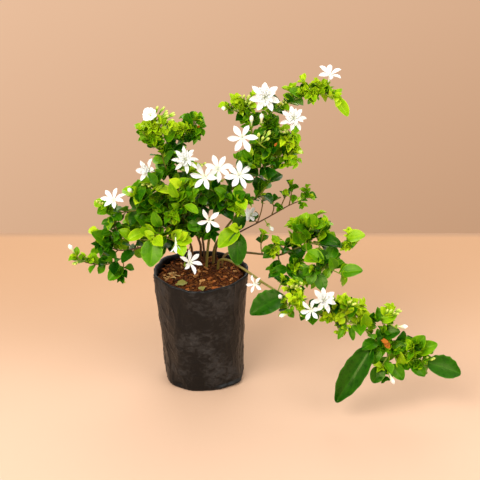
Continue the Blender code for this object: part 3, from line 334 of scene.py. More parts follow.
dust = dust_group()
film_material, tree, shader = blank_material("black_polythene")
dusty = put(tree, "ShaderNodeGroup", node_tree=dust)
dusty.inputs["Scale"].default_value = 90
dusty.inputs["Streak"].default_value = 1.5
dusty.inputs["Amount"].default_value = 1.0
tree.links.new(mixed(tree, dusty.outputs["Dust"], (0.0024, 0.0025, 0.0026, 1), (0.038, 0.034, 0.031, 1)),
               shader.inputs["Base Color"])
matt = put(tree, "ShaderNodeMapRange", {"Value": dusty.outputs["Dust"], "To Min": 0.36, "To Max": 0.75})
tree.links.new(matt.outputs[0], shader.inputs["Roughness"])
shader.inputs["Specular IOR Level"].default_value = 0.24
place = put(tree, "ShaderNodeTexCoord")
squeeze = put(tree, "ShaderNodeMapping", {"Vector": place.outputs["Object"], "Scale": (1, 1, 0.7)})
crinkle = put(tree, "ShaderNodeTexNoise", {"Vector": squeeze.outputs[0], "Scale": 110.0,
                                           "Detail": 4.0, "Distortion": 1.8})
relief = put(tree, "ShaderNodeBump", {"Height": crinkle.outputs["Fac"], "Strength": 0.6,
                                      "Distance": 0.0012})
tree.links.new(relief.outputs[0], shader.inputs["Normal"])
bag.data.materials.append(film_material)
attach(bag, "root")
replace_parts(bag, "nursery_bag")


# The coir. Red-brown fibre and pith from coconut husk fills the bag to a hand's breadth from
# its foot up to just under the mouth, pressed a little higher round the stems.
SOIL_EDGE = 0.155
SOIL_MOUND = 0.007
SOIL_MOUND_REACH = 0.030
SOIL_INSET = 0.0019
SOIL_ROUNDED = 0.0034  # how far the top draws in from the turned-in mouth
SOIL_SIDES = 150
SOIL_RINGS = 34


def soil_height(x, y):
    """The height of the coir's top, with its lumps and crumbs."""
    mound = SOIL_MOUND * math.exp(-(x * x + y * y) / SOIL_MOUND_REACH ** 2)
    lumps = 0.0011 * math.sin(230 * x + 1) * math.sin(205 * y) + 0.0007 * math.sin(410 * x - 160 * y)
    crumbs = noise.noise(Vector((x, y, 0)) * 210) * 0.0024 + noise.noise(Vector((x, y, 3)) * 560) * 0.0014
    return SOIL_EDGE + mound + lumps + crumbs


rows = [(BAG_BASE_RADIUS * share, 0.0015) for share in (0.3, 0.93)]
rows += [(wall_radius(height), height) for height in (0.006, 0.04, 0.08, 0.12, 0.145)]
soil_reach = wall_radius(SOIL_EDGE) - SOIL_ROUNDED
rows += [(soil_reach * (1 - ring / SOIL_RINGS), SOIL_EDGE) for ring in range(SOIL_RINGS)]
coir = draw_rings("coir_fill", SOIL_SIDES, rows)
bpy.ops.mesh.merge(type="CENTER")
bpy.ops.mesh.select_all(action="SELECT")
bpy.ops.mesh.normals_make_consistent(inside=False)
bpy.ops.object.mode_set(mode="OBJECT")
for point in coir.data.vertices:
    on_top = point.co.z > SOIL_EDGE - 0.0005
    point.co = bag_place(point.co, SOIL_INSET, False)
    if on_top:
        point.co.z = soil_height(point.co.x, point.co.y)
bpy.ops.object.shade_smooth()
coir_material, tree, shader = blank_material("moist_coir")
place = put(tree, "ShaderNodeTexCoord")
grain = put(tree, "ShaderNodeTexNoise", {"Vector": place.outputs["Object"], "Scale": 420.0,
                                         "Detail": 6.0, "Roughness": 0.7, "Distortion": 1.5})
tree.links.new(ramp(tree, grain.outputs["Fac"], ((0.38, (0.004, 0.001, 0.0003)), (0.48, (0.050, 0.012, 0.003)),
                                                 (0.57, (0.21, 0.062, 0.009)), (0.68, (0.48, 0.19, 0.04)))),
               shader.inputs["Base Color"])
shader.inputs["Roughness"].default_value = 0.9
shader.inputs["Specular IOR Level"].default_value = 0.12
relief = put(tree, "ShaderNodeBump", {"Height": grain.outputs["Fac"], "Strength": 0.9, "Distance": 0.002})
tree.links.new(relief.outputs[0], shader.inputs["Normal"])
coir.data.materials.append(coir_material)
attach(coir, "root")
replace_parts(coir, "coir")


# The stems. Thin woody shoots stand in the coir and lean outwards, brown and scarred low down,
# olive and then green towards their tips. Side twigs leave them in pairs or one by one.
MM = 0.001  # the plant's routes and places are listed in millimetres
CROWN = Vector((0.0032, 0, 0))
HOLE_BOTTOM = 138
HOLE_TOP = 168
ROUTE_STEP = 0.026
STEMS = {
    "stem_top_left": [
        (1.9, 0.9, (6, 25, 17, 0.50), [(-10, 20, HOLE_BOTTOM), (-10, 20, HOLE_TOP),
            (-8, 17, 190), (-15, 12, 215), (-27, 8, 246), (-40, 5, 277), (-51, 3, 309),
            (-59, 0, 338), (-68, -2, 360), (-71, -5, 374)]),
        (1.0, 0.8, (4, 19, 14, 0.25), [(-54, 2, 320), (-39, 8, 341), (-24, 12, 356),
            (-12, 15, 375)]),
        (1.0, 0.8, (3, 17, 13, 0.20), [(-59, 0, 338), (-74, -10, 356), (-81, -14, 371)]),
        (1.0, 0.8, (2, 22, 17, 0.40), [(-27, 8, 246), (-22, 14, 275), (-20, 16, 300)]),
    ],
    "stem_left": [
        (1.9, 0.9, (4, 30, 22, 0.45), [(-20, 6, HOLE_BOTTOM), (-20, 6, HOLE_TOP),
            (-20, 4, 192), (-27, -5, 216), (-45, -15, 238), (-67, -25, 260), (-83, -32, 281),
            (-91, -35, 287)]),
        (1.0, 0.8, (4, 26, 18, 0.20), [(-45, -15, 238), (-50, -20, 264), (-59, -25, 285),
            (-69, -28, 304)]),
        (1.0, 0.8, (4, 26, 17, 0.20), [(-27, -5, 216), (-31, -20, 254), (-36, -25, 278),
            (-33, -25, 297)]),
        (1.0, 0.8, (4, 24, 16, 0.22), [(-67, -25, 260), (-86, -30, 265), (-106, -28, 262),
            (-124, -25, 257), (-134, -25, 269)]),
        (1.0, 0.8, (1, 24, 22, 0.50), [(-45, -15, 238), (-60, -35, 236), (-70, -48, 229)]),
        (1.0, 0.8, (2, 24, 20, 0.35), [(-60, -35, 236), (-46, -45, 230), (-32, -47, 226)]),
    ],
    "stem_low_left": [
        (1.8, 0.8, (5, 28, 17, 0.40), [(-18, -8, HOLE_BOTTOM), (-18, -8, HOLE_TOP),
            (-20, -9, 190), (-37, -15, 207), (-65, -15, 209), (-92, -15, 203),
            (-119, -15, 200), (-137, -18, 212), (-144, -20, 225)]),
        (1.0, 0.8, (5, 20, 12, 0.35), [(-92, -15, 203), (-113, -25, 193), (-132, -28, 185),
            (-149, -30, 186), (-166, -32, 192), (-174, -32, 198)]),
        (0.9, 0.8, (1, 16, 14, 0.60), [(-113, -25, 193), (-111, -28, 179), (-116, -30, 168)]),
        (0.9, 0.8, (1, 20, 18, 0.70), [(-119, -15, 200), (-132, -10, 188), (-144, -8, 196)]),
        (0.9, 0.8, (2, 24, 18, 0.45), [(-92, -15, 203), (-95, 6, 214), (-102, 24, 226)]),
    ],
    "stem_top": [
        (2.1, 0.9, (6, 26, 17, 0.52), [(0, 10, HOLE_BOTTOM), (0, 10, HOLE_TOP), (2, 12, 192),
            (6, 14, 217), (13, 16, 243), (23, 18, 262), (35, 20, 276), (50, 22, 293),
            (59, 22, 316), (62, 20, 345), (59, 18, 374), (50, 15, 391)]),
        (0.9, 0.8, (2, 17, 14, 0.30), [(59, 18, 374), (43, 12, 387), (31, 8, 393)]),
        (1.0, 0.8, (6, 20, 14, 0.22), [(61, 20, 345), (75, 15, 364), (88, 12, 387),
            (111, 10, 401), (130, 8, 410), (152, 5, 414), (169, 0, 410)]),
        (0.85, 0.8, (1, 14, 13, 0.50), [(130, 8, 410), (143, 6, 420), (152, 6, 425)]),
        (1.0, 0.8, (3, 24, 18, 0.30), [(13, 16, 243), (30, 5, 258), (43, -2, 268)]),
        (0.9, 0.8, (2, 20, 17, 0.40), [(23, 18, 262), (27, 2, 256), (40, -7, 252)]),
        (0.9, 0.8, (2, 20, 17, 0.35), [(23, 18, 262), (8, 10, 277), (-1, 5, 284)]),
    ],
    "stem_top_right": [
        (2.0, 0.9, (6, 24, 17, 0.55), [(9, 27, HOLE_BOTTOM), (9, 27, HOLE_TOP), (11, 28, 184),
            (29, 32, 215), (54, 34, 245), (71, 33, 259), (80, 31, 272), (89, 28, 295),
            (91, 24, 323), (89, 20, 346), (84, 18, 366)]),
        (0.9, 0.8, (2, 20, 16, 0.40), [(91, 24, 323), (106, 18, 322), (118, 15, 333)]),
        (0.9, 0.8, (2, 20, 15, 0.40), [(89, 20, 346), (104, 16, 349), (115, 14, 353)]),
        (0.9, 0.8, (3, 22, 16, 0.25), [(90, 27, 305), (75, 14, 308), (60, 8, 313),
            (54, 5, 324)]),
        (0.85, 0.8, (2, 17, 13, 0.35), [(90, 22, 334), (79, 2, 341), (70, -4, 350)]),
        (0.9, 0.8, (3, 24, 17, 0.30), [(91, 24, 323), (95, 38, 333), (100, 54, 344)]),
    ],
    "stem_thin_right": [
        (1.4, 0.7, (1, 17, 15, 0.97), [(12, 37, HOLE_BOTTOM), (12, 37, HOLE_TOP),
            (14, 38, 181), (29, 42, 191), (47, 46, 200), (70, 48, 212), (90, 50, 223),
            (114, 52, 237), (131, 52, 245), (140, 52, 250)]),
        (0.85, 0.8, (1, 14, 12, 0.80), [(114, 52, 237), (117, 52, 255), (117, 52, 268)]),
        (0.85, 0.8, (1, 15, 13, 0.85), [(90, 50, 223), (93, 50, 235), (89, 48, 245)]),
        (0.85, 0.8, (1, 15, 13, 0.85), [(101, 51, 230), (105, 48, 243), (109, 48, 253)]),
        (0.85, 0.8, (1, 12, 11, 0.85), [(70, 48, 212), (76, 48, 232), (78, 48, 250)]),
        (0.85, 0.8, (1, 12, 11, 0.50), [(70, 48, 212), (67, 46, 217), (64, 43, 221)]),
        (0.9, 0.8, (1, 24, 22, 0.60), [(29, 42, 191), (36, 20, 207), (44, 2, 224)]),
    ],
    "stem_right": [
        (1.8, 0.8, (3, 26, 20, 0.62), [(22, 22, HOLE_BOTTOM), (22, 22, HOLE_TOP),
            (24, 23, 173), (36, 28, 177), (56, 32, 174), (77, 31, 172), (99, 28, 172),
            (115, 24, 180), (134, 20, 190), (153, 16, 196), (175, 12, 193), (193, 8, 204)]),
        (0.9, 0.8, (2, 14, 11, 0.55), [(77, 31, 172), (75, 30, 187), (78, 28, 204)]),
        (0.9, 0.8, (2, 18, 14, 0.35), [(99, 28, 172), (90, 22, 183), (96, 19, 193)]),
        (0.9, 0.8, (2, 20, 16, 0.40), [(104, 26, 175), (108, 20, 188), (116, 18, 196)]),
        (0.9, 0.8, (1, 18, 16, 0.60), [(99, 28, 172), (102, 15, 158), (103, 5, 144)]),
        (0.9, 0.8, (1, 18, 15, 0.70), [(134, 20, 190), (137, 15, 207), (143, 12, 221)]),
        (0.9, 0.8, (2, 18, 14, 0.50), [(153, 16, 196), (156, 13, 215), (162, 10, 228)]),
        (0.9, 0.8, (2, 22, 18, 0.45), [(153, 16, 196), (161, 5, 182), (170, -5, 168),
            (186, -12, 161)]),
        (0.9, 0.8, (1, 20, 17, 0.60), [(166, 0, 174), (155, -10, 166), (145, -14, 170)]),
        (0.9, 0.8, (1, 18, 16, 0.60), [(102, 15, 158), (112, 4, 164), (123, -4, 168)]),
        (0.9, 0.8, (3, 26, 18, 0.30), [(134, 20, 190), (141, 40, 202), (149, 58, 214)]),
    ],
    "stem_low_right": [
        (1.8, 0.7, (6, 24, 20, 0.52), [(16, 6, HOLE_BOTTOM), (16, 6, HOLE_TOP), (18, 3, 176),
            (30, -5, 180), (46, -15, 175), (62, -25, 168), (78, -35, 160), (97, -45, 152),
            (118, -55, 142), (143, -62, 131), (166, -70, 128), (190, -78, 124),
            (211, -85, 117), (229, -92, 102), (248, -98, 89), (269, -102, 82),
            (288, -105, 78)]),
        (0.9, 0.8, (2, 16, 12, 0.50), [(118, -55, 142), (121, -51, 154), (121, -49, 165)]),
        (0.9, 0.8, (1, 15, 12, 0.70), [(97, -45, 152), (100, -40, 159), (103, -36, 164)]),
        (0.9, 0.8, (1, 14, 12, 0.70), [(118, -55, 142), (111, -62, 138), (108, -66, 131)]),
        (0.9, 0.8, (3, 20, 13, 0.35), [(190, -78, 124), (186, -80, 140), (188, -82, 153)]),
        (0.9, 0.8, (2, 20, 15, 0.40), [(166, -70, 128), (164, -74, 140), (160, -76, 150)]),
        (0.9, 0.8, (2, 20, 16, 0.40), [(211, -85, 117), (224, -88, 130), (238, -90, 138)]),
        (0.9, 0.8, (1, 18, 16, 0.70), [(248, -98, 89), (238, -103, 78), (234, -106, 70)]),
        (0.9, 0.8, (2, 20, 16, 0.50), [(269, -102, 82), (273, -104, 95), (279, -105, 105)]),
    ],
    "stem_back": [
        (1.7, 0.8, (5, 28, 20, 0.45), [(-4, 36, HOLE_BOTTOM), (-4, 36, HOLE_TOP),
            (-6, 40, 190), (-12, 48, 220), (-20, 58, 250), (-30, 68, 276), (-38, 76, 300)]),
        (1.0, 0.8, (3, 26, 19, 0.30), [(-12, 48, 220), (4, 62, 240), (16, 74, 262)]),
        (1.0, 0.8, (3, 26, 19, 0.30), [(-12, 48, 220), (-36, 50, 232), (-62, 54, 246)]),
    ],
}
WOODINESS = {"stem_top_left": 0.75, "stem_left": 0.8, "stem_low_left": 0.85, "stem_top": 0.45,
             "stem_top_right": 0.5, "stem_thin_right": 0.9, "stem_right": 0.6,
             "stem_low_right": 0.5, "stem_back": 0.7}
GREENING = 0.26  # length of stem over which brown bark turns green


def mm(point):
    """A place on the plant, which is listed in mm from its crown."""
    return CROWN + Vector(point) * MM


def smooth_route(route):
    """The route's own points, with one more on a smooth curve between two that are far apart."""
    points = [mm(point) for point in route]
    made = []
    for i in range(len(points) - 1):
        before = points[max(i - 1, 0)]
        after = points[min(i + 2, len(points) - 1)]
        made.append(points[i])
        if i > 0 and (points[i + 1] - points[i]).length > ROUTE_STEP:
            made.append((points[i] + points[i + 1]) * 0.5625 - (before + after) * 0.0625)
    made.append(points[-1])
    return made


class Route:
    """A twig's middle line, with a direction across it that never twists."""

    def __init__(self, points):
        self.points = points
        self.ways = [(b - a).normalized() for a, b in zip(points, points[1:])]
        self.starts = [0.0]
        for first, second in zip(points, points[1:]):
            self.starts.append(self.starts[-1] + (second - first).length)
        across = self.ways[0].orthogonal().normalized()
        self.across = [across]
        for before, after in zip(self.ways, self.ways[1:]):
            across = across.copy()
            across.rotate(before.rotation_difference(after))
            self.across.append(across)

    def at(self, distance):
        """The point, the way and the direction across at a distance along the route."""
        last = len(self.ways) - 1
        number = max(i for i in range(last + 1) if self.starts[i] <= distance or i == 0)
        point = self.points[number] + self.ways[number] * (distance - self.starts[number])
        return point, self.ways[number], self.across[number]

    def nearest(self, place):
        """How far the route's nearest point is from the place, and how far along it lies."""
        best = None
        for number, (first, way) in enumerate(zip(self.points, self.ways)):
            length = self.starts[number + 1] - self.starts[number]
            share = min(max((place - first).dot(way), 0), length)
            gap = (first + way * share - place).length
            if best is None or gap < best[0]:
                best = (gap, self.starts[number] + share)
        return best


routes = {(node, number): Route(smooth_route(twig[3]))
          for node, twigs in STEMS.items() for number, twig in enumerate(twigs)}


def give_number(mesh, name, values):
    """Stores one number for each point of the mesh, which its material reads by name."""
    kept = mesh.attributes.get(name) or mesh.attributes.new(name, "FLOAT", "POINT")
    kept.data.foreach_set("value", list(values))


def round_tube(name, points, radii, sides=8, turns=3):
    """A smooth closed tube through the points, thicker and thinner as the radii say."""
    bpy.ops.object.select_all(action="DESELECT")
    bpy.ops.curve.primitive_bezier_curve_add(location=(0, 0, 0))
    guide = bpy.context.object
    line = guide.data
    line.bevel_depth = MM
    line.bevel_resolution = (sides - 4) // 2
    line.use_fill_caps = True
    line.resolution_u = turns
    spline = line.splines[0]
    spline.bezier_points.add(len(points) - 2)
    for knot, point, radius in zip(spline.bezier_points, points, radii):
        knot.handle_left_type = "AUTO"
        knot.handle_right_type = "AUTO"
        knot.co = point
        knot.radius = radius / MM
    bpy.ops.object.convert(target="MESH")
    tube = bpy.context.object
    tube.name = name
    bpy.ops.object.mode_set(mode="EDIT")
    bpy.ops.mesh.select_all(action="SELECT")
    bpy.ops.mesh.remove_doubles(threshold=0.000005)
    bpy.ops.mesh.normals_make_consistent(inside=False)
    bpy.ops.object.mode_set(mode="OBJECT")
    return tube


def as_one(name, pieces):
    """Joins finished pieces into one, which sits at the origin."""
    bpy.ops.object.select_all(action="DESELECT")
    for piece in pieces:
        piece.select_set(True)
    bpy.context.view_layer.objects.active = pieces[0]
    bpy.ops.object.join()
    whole = bpy.context.object
    whole.name = name
    return whole


def greenness(node, place, side_twig):
    """How green the bark is: 0 is brown wood, 1 is a fresh yellow-green shoot."""
    foot = mm(STEMS[node][0][3][1])
    grown = (place - foot).length / GREENING
    return min(max(1 - WOODINESS[node] + 0.5 * grown + (0.15 if side_twig else 0), 0), 1)


bark, tree, shader = blank_material("twig_bark")
age = put(tree, "ShaderNodeAttribute", attribute_name="tone")
place = put(tree, "ShaderNodeTexCoord")
fleck = put(tree, "ShaderNodeTexNoise", {"Vector": place.outputs["Object"], "Scale": 260.0,
                                         "Detail": 4.0, "Roughness": 0.6})
blend = put(tree, "ShaderNodeMath", {0: fleck.outputs["Fac"], 1: 0.5, 2: -0.25}, operation="MULTIPLY_ADD")
total = put(tree, "ShaderNodeMath", {0: age.outputs["Fac"], 1: blend.outputs[0]}, operation="ADD")
tree.links.new(ramp(tree, total.outputs[0], ((0.05, (0.040, 0.014, 0.005)), (0.35, (0.14, 0.060, 0.015)),
                                             (0.6, (0.20, 0.16, 0.015)), (0.95, (0.26, 0.36, 0.015)))),
               shader.inputs["Base Color"])
shader.inputs["Roughness"].default_value = 0.55
relief = put(tree, "ShaderNodeBump", {"Height": fleck.outputs["Fac"], "Strength": 0.5, "Distance": 0.0008})
tree.links.new(relief.outputs[0], shader.inputs["Normal"])

shaky = random.Random(3)
for node, twigs in STEMS.items():
    tubes = []
    for number, (first, last, _, _) in enumerate(twigs):
        route = routes[node, number]
        length = route.starts[-1]
        radii = []
        for distance in route.starts:
            straight = (first + (last - first) * distance / length) * MM
            radii.append(straight * shaky.uniform(0.94, 1.16))
        tube = round_tube(f"{node}_twig_{number}", route.points, radii)
        give_number(tube.data, "tone", [greenness(node, point.co, number > 0)
                                        for point in tube.data.vertices])
        tubes.append(tube)
    stem = as_one(f"{node}_twigs", tubes)
    stem.data.materials.append(bark)
    stem.data.shade_smooth()
    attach(stem, "root")
    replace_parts(stem, node)


# The leaves. Each is a thin waxy blade, broad and blunt-pointed, folded a little along its pale
# midrib, on a short stalk. They stand in pairs up the twigs, dark when old and lime when young.
LEAF_TRIES = ((0, 0.15, 1.0), (0.35, 0.15, 1.0), (-0.35, 0.15, 1.0), (0.2, 0.45, 0.95),
              (-0.2, -0.15, 0.95), (0.6, 0.1, 0.9), (-0.6, 0.1, 0.9), (0, 0.6, 0.8),
              (0.5, -0.3, 0.8), (-0.5, 0.5, 0.75), (0, 0.2, 0.65), (0.3, 0.3, 0.5))
LEAF_SIZE = 1.15
LEAF_WIDTH = 0.62
LEAF_ARCH = 0.06
LEAF_SPREAD = math.radians(62)
LEAF_ENDWISE = 0.93
LEAF_SEED = 11
SEAT_HALF = 0.0008
PLANT_AXIS = Vector((0.0232, 0.03, 0))
BLADE = 0.0003  # half the thickness of the model's blades
FOUND = 0.0002
BROAD = (0.08, 0.50, 0.92, 1.0, 0.88, 0.54, 0.04)  # widths from the stalk to the tip
OVAL = (0.08, 0.36, 0.78, 1.0, 0.96, 0.64, 0.04)
SLIM = (0.12, 0.50, 0.82, 0.84, 0.55, 0.03)


def draw_blade(name, widths, fold, arch, curl, wave, thick, columns=4, smoother=0):
    """One thin leaf or petal, modelled from a flat grid: its columns are lifted into a fold, its
    rows drawn in to the outline and lifted along an arch, and then it gets its thickness. It is
    a unit long from the foot at the origin along +Y, a unit wide and faces up."""
    rows = len(widths) - 1
    bpy.ops.object.select_all(action="DESELECT")
    bpy.ops.mesh.primitive_grid_add(x_subdivisions=columns, y_subdivisions=rows, size=1,
                                    location=(0, 0.5, 0))
    blade = bpy.context.object
    blade.name = name
    bpy.ops.object.transform_apply(location=True, rotation=True, scale=True)
    bpy.ops.object.mode_set(mode="EDIT")
    for column in range(1, columns // 2 + 1):
        across = column / columns
        pick(blade, lambda co: abs(abs(co.x) - across) < 0.01)
        bpy.ops.transform.translate(value=(0, 0, fold * (2 * across) ** 1.15))
    for row, width in enumerate(widths):
        along = row / rows
        pick(blade, lambda co: abs(co.y - along) < 0.01 and abs(co.x) > 0.45)
        bpy.ops.transform.translate(value=(0, 0, wave * (-1) ** row))
        pick(blade, lambda co: abs(co.y - along) < 0.01)
        bpy.ops.transform.resize(value=(width, 1, width ** 0.6), center_override=(0, along, 0))
        lift = arch * 4 * along * (1 - along) - curl * along ** 3
        bpy.ops.transform.translate(value=(0, 0, lift))
    pick(blade, lambda co: co.y > 1 - 0.01)
    bpy.ops.mesh.merge(type="CENTER")
    bpy.ops.object.mode_set(mode="OBJECT")
    if smoother:
        finer = blade.modifiers.new("Finer", "SUBSURF")
        finer.levels = smoother
        finer.render_levels = smoother
        bpy.ops.object.modifier_apply(modifier=finer.name)
    blade.data.materials.append(None)
    blade.data.materials.append(None)
    body = blade.modifiers.new("Thickness", "SOLIDIFY")
    body.thickness = thick
    body.offset = 0
    body.material_offset = 1
    bpy.ops.object.modifier_apply(modifier=body.name)
    bpy.ops.object.shade_smooth_by_angle(angle=math.radians(50))
    return blade


def blade_frame(root, tip, up, width):
    """The move that lays a modelled blade from root to tip, with its face to the upward side."""
    line = tip - root
    top = (up - line * (up.dot(line) / line.length_squared)).normalized()
    side = line.normalized().cross(top) * width
    frame = Matrix((side, line, top * line.length)).transposed().to_4x4()
    frame.translation = root
    return frame


def gather(name, copies, materials):
    """One piece from copies of modelled shapes, each at its own place and with its own tone."""
    pieces = []
    for master, place, tone in copies:
        mesh = master.data.copy()
        mesh.transform(place)
        give_number(mesh, "tone", [tone] * len(mesh.vertices))
        mesh.materials.clear()
        for material in materials:
            mesh.materials.append(material)
        piece = bpy.data.objects.new(name, mesh)
        bpy.context.scene.collection.objects.link(piece)
        pieces.append(piece)
    return as_one(name, pieces)


def put_away(*masters):
    """Removes the shapes that were only there to be copied."""
    for master in masters:
        bpy.data.objects.remove(master, do_unlink=True)


def vein_group():
    """The midrib, the side veins and the rim of a blade, read from its own unwrapped grid."""
    tree = bpy.data.node_groups.new("leaf_veins", "ShaderNodeTree")
    for socket, value in (("Pairs", 6.0), ("Forward", 0.75)):
        tree.interface.new_socket(socket, in_out="INPUT", socket_type="NodeSocketFloat")
        tree.interface.items_tree[socket].default_value = value
    for socket in ("Midrib", "Veins", "Rim", "Along"):
        tree.interface.new_socket(socket, in_out="OUTPUT", socket_type="NodeSocketFloat")
    given = put(tree, "NodeGroupInput")
    unwrapped = put(tree, "ShaderNodeUVMap")
    parts = put(tree, "ShaderNodeSeparateXYZ", {0: unwrapped.outputs[0]})
    off = put(tree, "ShaderNodeMath", {0: parts.outputs["X"], 1: 0.5}, operation="SUBTRACT")
    across = put(tree, "ShaderNodeMath", {0: off.outputs[0]}, operation="ABSOLUTE")
    midrib = put(tree, "ShaderNodeMapRange", {"Value": across.outputs[0], "From Min": 0.012,
                                              "From Max": 0.05, "To Min": 1.0, "To Max": 0.0},
                 interpolation_type="SMOOTHSTEP")
    swept = put(tree, "ShaderNodeMath", {0: across.outputs[0], 1: given.outputs["Forward"]},
                operation="MULTIPLY")
    back = put(tree, "ShaderNodeMath", {0: parts.outputs["Y"], 1: swept.outputs[0]}, operation="SUBTRACT")
    count = put(tree, "ShaderNodeMath", {0: back.outputs[0], 1: given.outputs["Pairs"]}, operation="MULTIPLY")
    near = put(tree, "ShaderNodeMath", {0: count.outputs[0], 1: 1.0}, operation="PINGPONG")
    vein = put(tree, "ShaderNodeMapRange", {"Value": near.outputs[0], "From Min": 0.05,
                                            "From Max": 0.28, "To Min": 1.0, "To Max": 0.0},
               interpolation_type="SMOOTHSTEP")
    rim = put(tree, "ShaderNodeMapRange", {"Value": across.outputs[0], "From Min": 0.40,
                                           "From Max": 0.5}, interpolation_type="SMOOTHSTEP")
    out = put(tree, "NodeGroupOutput")
    for socket, source in (("Midrib", midrib), ("Veins", vein), ("Rim", rim)):
        tree.links.new(source.outputs[0], out.inputs[socket])
    tree.links.new(parts.outputs["Y"], out.inputs["Along"])
    return tree


def leaf_material(name, stops, rough, rib_shift, rim_highlight):
    """Waxy leaf skin: its green follows the leaf's age and its ribs are paler, and its rim gets a painted highlight."""
    made, tree, shader = blank_material(name)
    veins = put(tree, "ShaderNodeGroup", node_tree=leaf_veins)
    veins.inputs["Pairs"].default_value = 5
    veins.inputs["Forward"].default_value = 0.75
    tone = put(tree, "ShaderNodeAttribute", attribute_name="tone")
    place = put(tree, "ShaderNodeTexCoord")
    mottle = put(tree, "ShaderNodeTexNoise", {"Vector": place.outputs["Object"], "Scale": 120.0,
                                              "Detail": 3.0})
    shift = put(tree, "ShaderNodeMath", {0: mottle.outputs["Fac"], 1: 0.36, 2: -0.18},
                operation="MULTIPLY_ADD")
    total = put(tree, "ShaderNodeMath", {0: tone.outputs["Fac"], 1: shift.outputs[0]}, operation="ADD")
    lines = put(tree, "ShaderNodeMath", {0: veins.outputs["Veins"], 1: 0.3}, operation="MULTIPLY")
    both = put(tree, "ShaderNodeMath", {0: lines.outputs[0], 1: veins.outputs["Midrib"]}, operation="MAXIMUM")
    ribbed = put(tree, "ShaderNodeMath", {0: both.outputs[0], 1: rib_shift, 2: total.outputs[0]},
                 operation="MULTIPLY_ADD")
    # Painted highlight: the blade's rim is made paler, as a bright lit edge.
    rim_highlighted = put(tree, "ShaderNodeMath", {0: veins.outputs["Rim"], 1: rim_highlight, 2: ribbed.outputs[0]},
                 operation="MULTIPLY_ADD")
    tree.links.new(ramp(tree, rim_highlighted.outputs[0], stops), shader.inputs["Base Color"])
    shine = put(tree, "ShaderNodeMapRange", {"Value": mottle.outputs["Fac"], "To Min": rough - 0.10,
                                             "To Max": rough + 0.12})
    tree.links.new(shine.outputs[0], shader.inputs["Roughness"])
    shader.inputs["Specular IOR Level"].default_value = 0.27
    shader.inputs["Specular Tint"].default_value = (1.0, 1.0, 0.35, 1)
    relief = put(tree, "ShaderNodeBump", {"Height": both.outputs[0], "Strength": 0.35, "Distance": 0.0006},
                 invert=True)
    tree.links.new(relief.outputs[0], shader.inputs["Normal"])
    shader.inputs["Subsurface Weight"].default_value = 0.06
    shader.inputs["Subsurface Radius"].default_value = (0.4, 1.0, 0.1)
    shader.inputs["Subsurface Scale"].default_value = 0.002
    return made


leaf_veins = vein_group()
FACE_GREENS = ((0.0, (0.006, 0.052, 0.001)), (0.25, (0.021, 0.118, 0.001)), (0.5, (0.086, 0.255, 0.002)),
               (0.75, (0.245, 0.460, 0.003)), (1.0, (0.49, 0.67, 0.012)))
BACK_GREENS = ((0.0, (0.010, 0.072, 0.001)), (0.25, (0.030, 0.138, 0.002)), (0.5, (0.09, 0.25, 0.004)),
               (0.75, (0.22, 0.42, 0.012)), (1.0, (0.42, 0.60, 0.03)))
upper_skin = leaf_material("leaf_face", FACE_GREENS, 0.28, 0.10, 0.20)
lower_skin = leaf_material("leaf_back", BACK_GREENS, 0.55, 0.16, 0.08)
leaf_skins = (upper_skin, lower_skin)

LEAF_SHAPES = [draw_blade("leaf_broad", BROAD, 0.16, 0.05, 0.05, 0.012, 0.011),
               draw_blade("leaf_oval", OVAL, 0.22, 0.07, 0.10, 0.018, 0.011),
               draw_blade("leaf_flat", BROAD, 0.08, 0.06, -0.02, 0.016, 0.011),
               draw_blade("leaf_cupped", OVAL, 0.36, 0.04, -0.12, 0.014, 0.012)]
YOUNG_SHAPES = [draw_blade("leaf_young", SLIM, 0.34, 0.05, -0.10, 0.010, 0.016, 2),
                draw_blade("leaf_curled", SLIM, 0.26, 0.06, 0.20, 0.014, 0.016, 2)]


def leaf_up(root, rng):
    """Up, turned outwards from the plant's middle and towards the front, so faces catch light."""
    away = Vector((root.x - PLANT_AXIS.x, root.y - PLANT_AXIS.y, 0))
    away = away.normalized() if away.length > 0.001 else Vector((0, -1, 0))
    sway = Vector((rng.uniform(-1, 1), rng.uniform(-1, 1), 0)) * 0.35
    return (Vector((0, -0.25, 1)) + away * 0.45 + sway).normalized()


def leaf_tip(point, way, side, swing, lift, length):
    """The tip of a leaf that leaves its twig sideways, swung round it and lifted a little."""
    side = side.copy()
    side.rotate(Quaternion(way, swing))
    out = way * math.cos(LEAF_SPREAD) + side * math.sin(LEAF_SPREAD)
    out.z += lift
    return point + out.normalized() * length


def free_seat(taken, distance, length):
    """The distance nearest to the wanted one that keeps clear of the seats already taken."""
    for step in range(60):
        for sign in (1, -1):
            found = distance + sign * step * SEAT_HALF / 2
            inside = SEAT_HALF * 2 < found < length - SEAT_HALF * 1.5
            if inside and all(abs(found - other) > 2.5 * SEAT_HALF for other in taken):
                return found
    return None


def points_of(node):
    """The model's own points on a stem, to find which leaves it carries."""
    points = frame["nodes"][node].data.vertices
    tree = kdtree.KDTree(len(points))
    for number, point in enumerate(points):
        tree.insert(point.co, number)
    tree.balance()
    return tree


def seated_leaf(points, point, way, side, radius, size, rng):
    """The leaf at one seat as the model has it, or nothing where it has none."""
    up = leaf_up(point, rng)
    rng.uniform(0.4, 1.8)  # the model draws the blade's arch here
    width = LEAF_WIDTH * rng.uniform(0.88, 1.12)
    for swing, lift, share in LEAF_TRIES:
        length = size * share
        tip = leaf_tip(point, way, side, swing, lift, length)
        line = (tip - point).normalized()
        if abs(line.dot(up)) > LEAF_ENDWISE:
            continue
        top = (up - line * up.dot(line)).normalized()
        if points.find(tip + top * BLADE)[2] < FOUND:
            return point + line * radius, tip, up, length * width
    return None


def leaf_tone(node, along, rng):
    """Leaves are young and bright at a twig's tip, and old and dark at its foot."""
    return min(max(0.10 + 0.62 * along ** 1.3 + rng.gauss(0, 0.16), 0.0), 1.0)


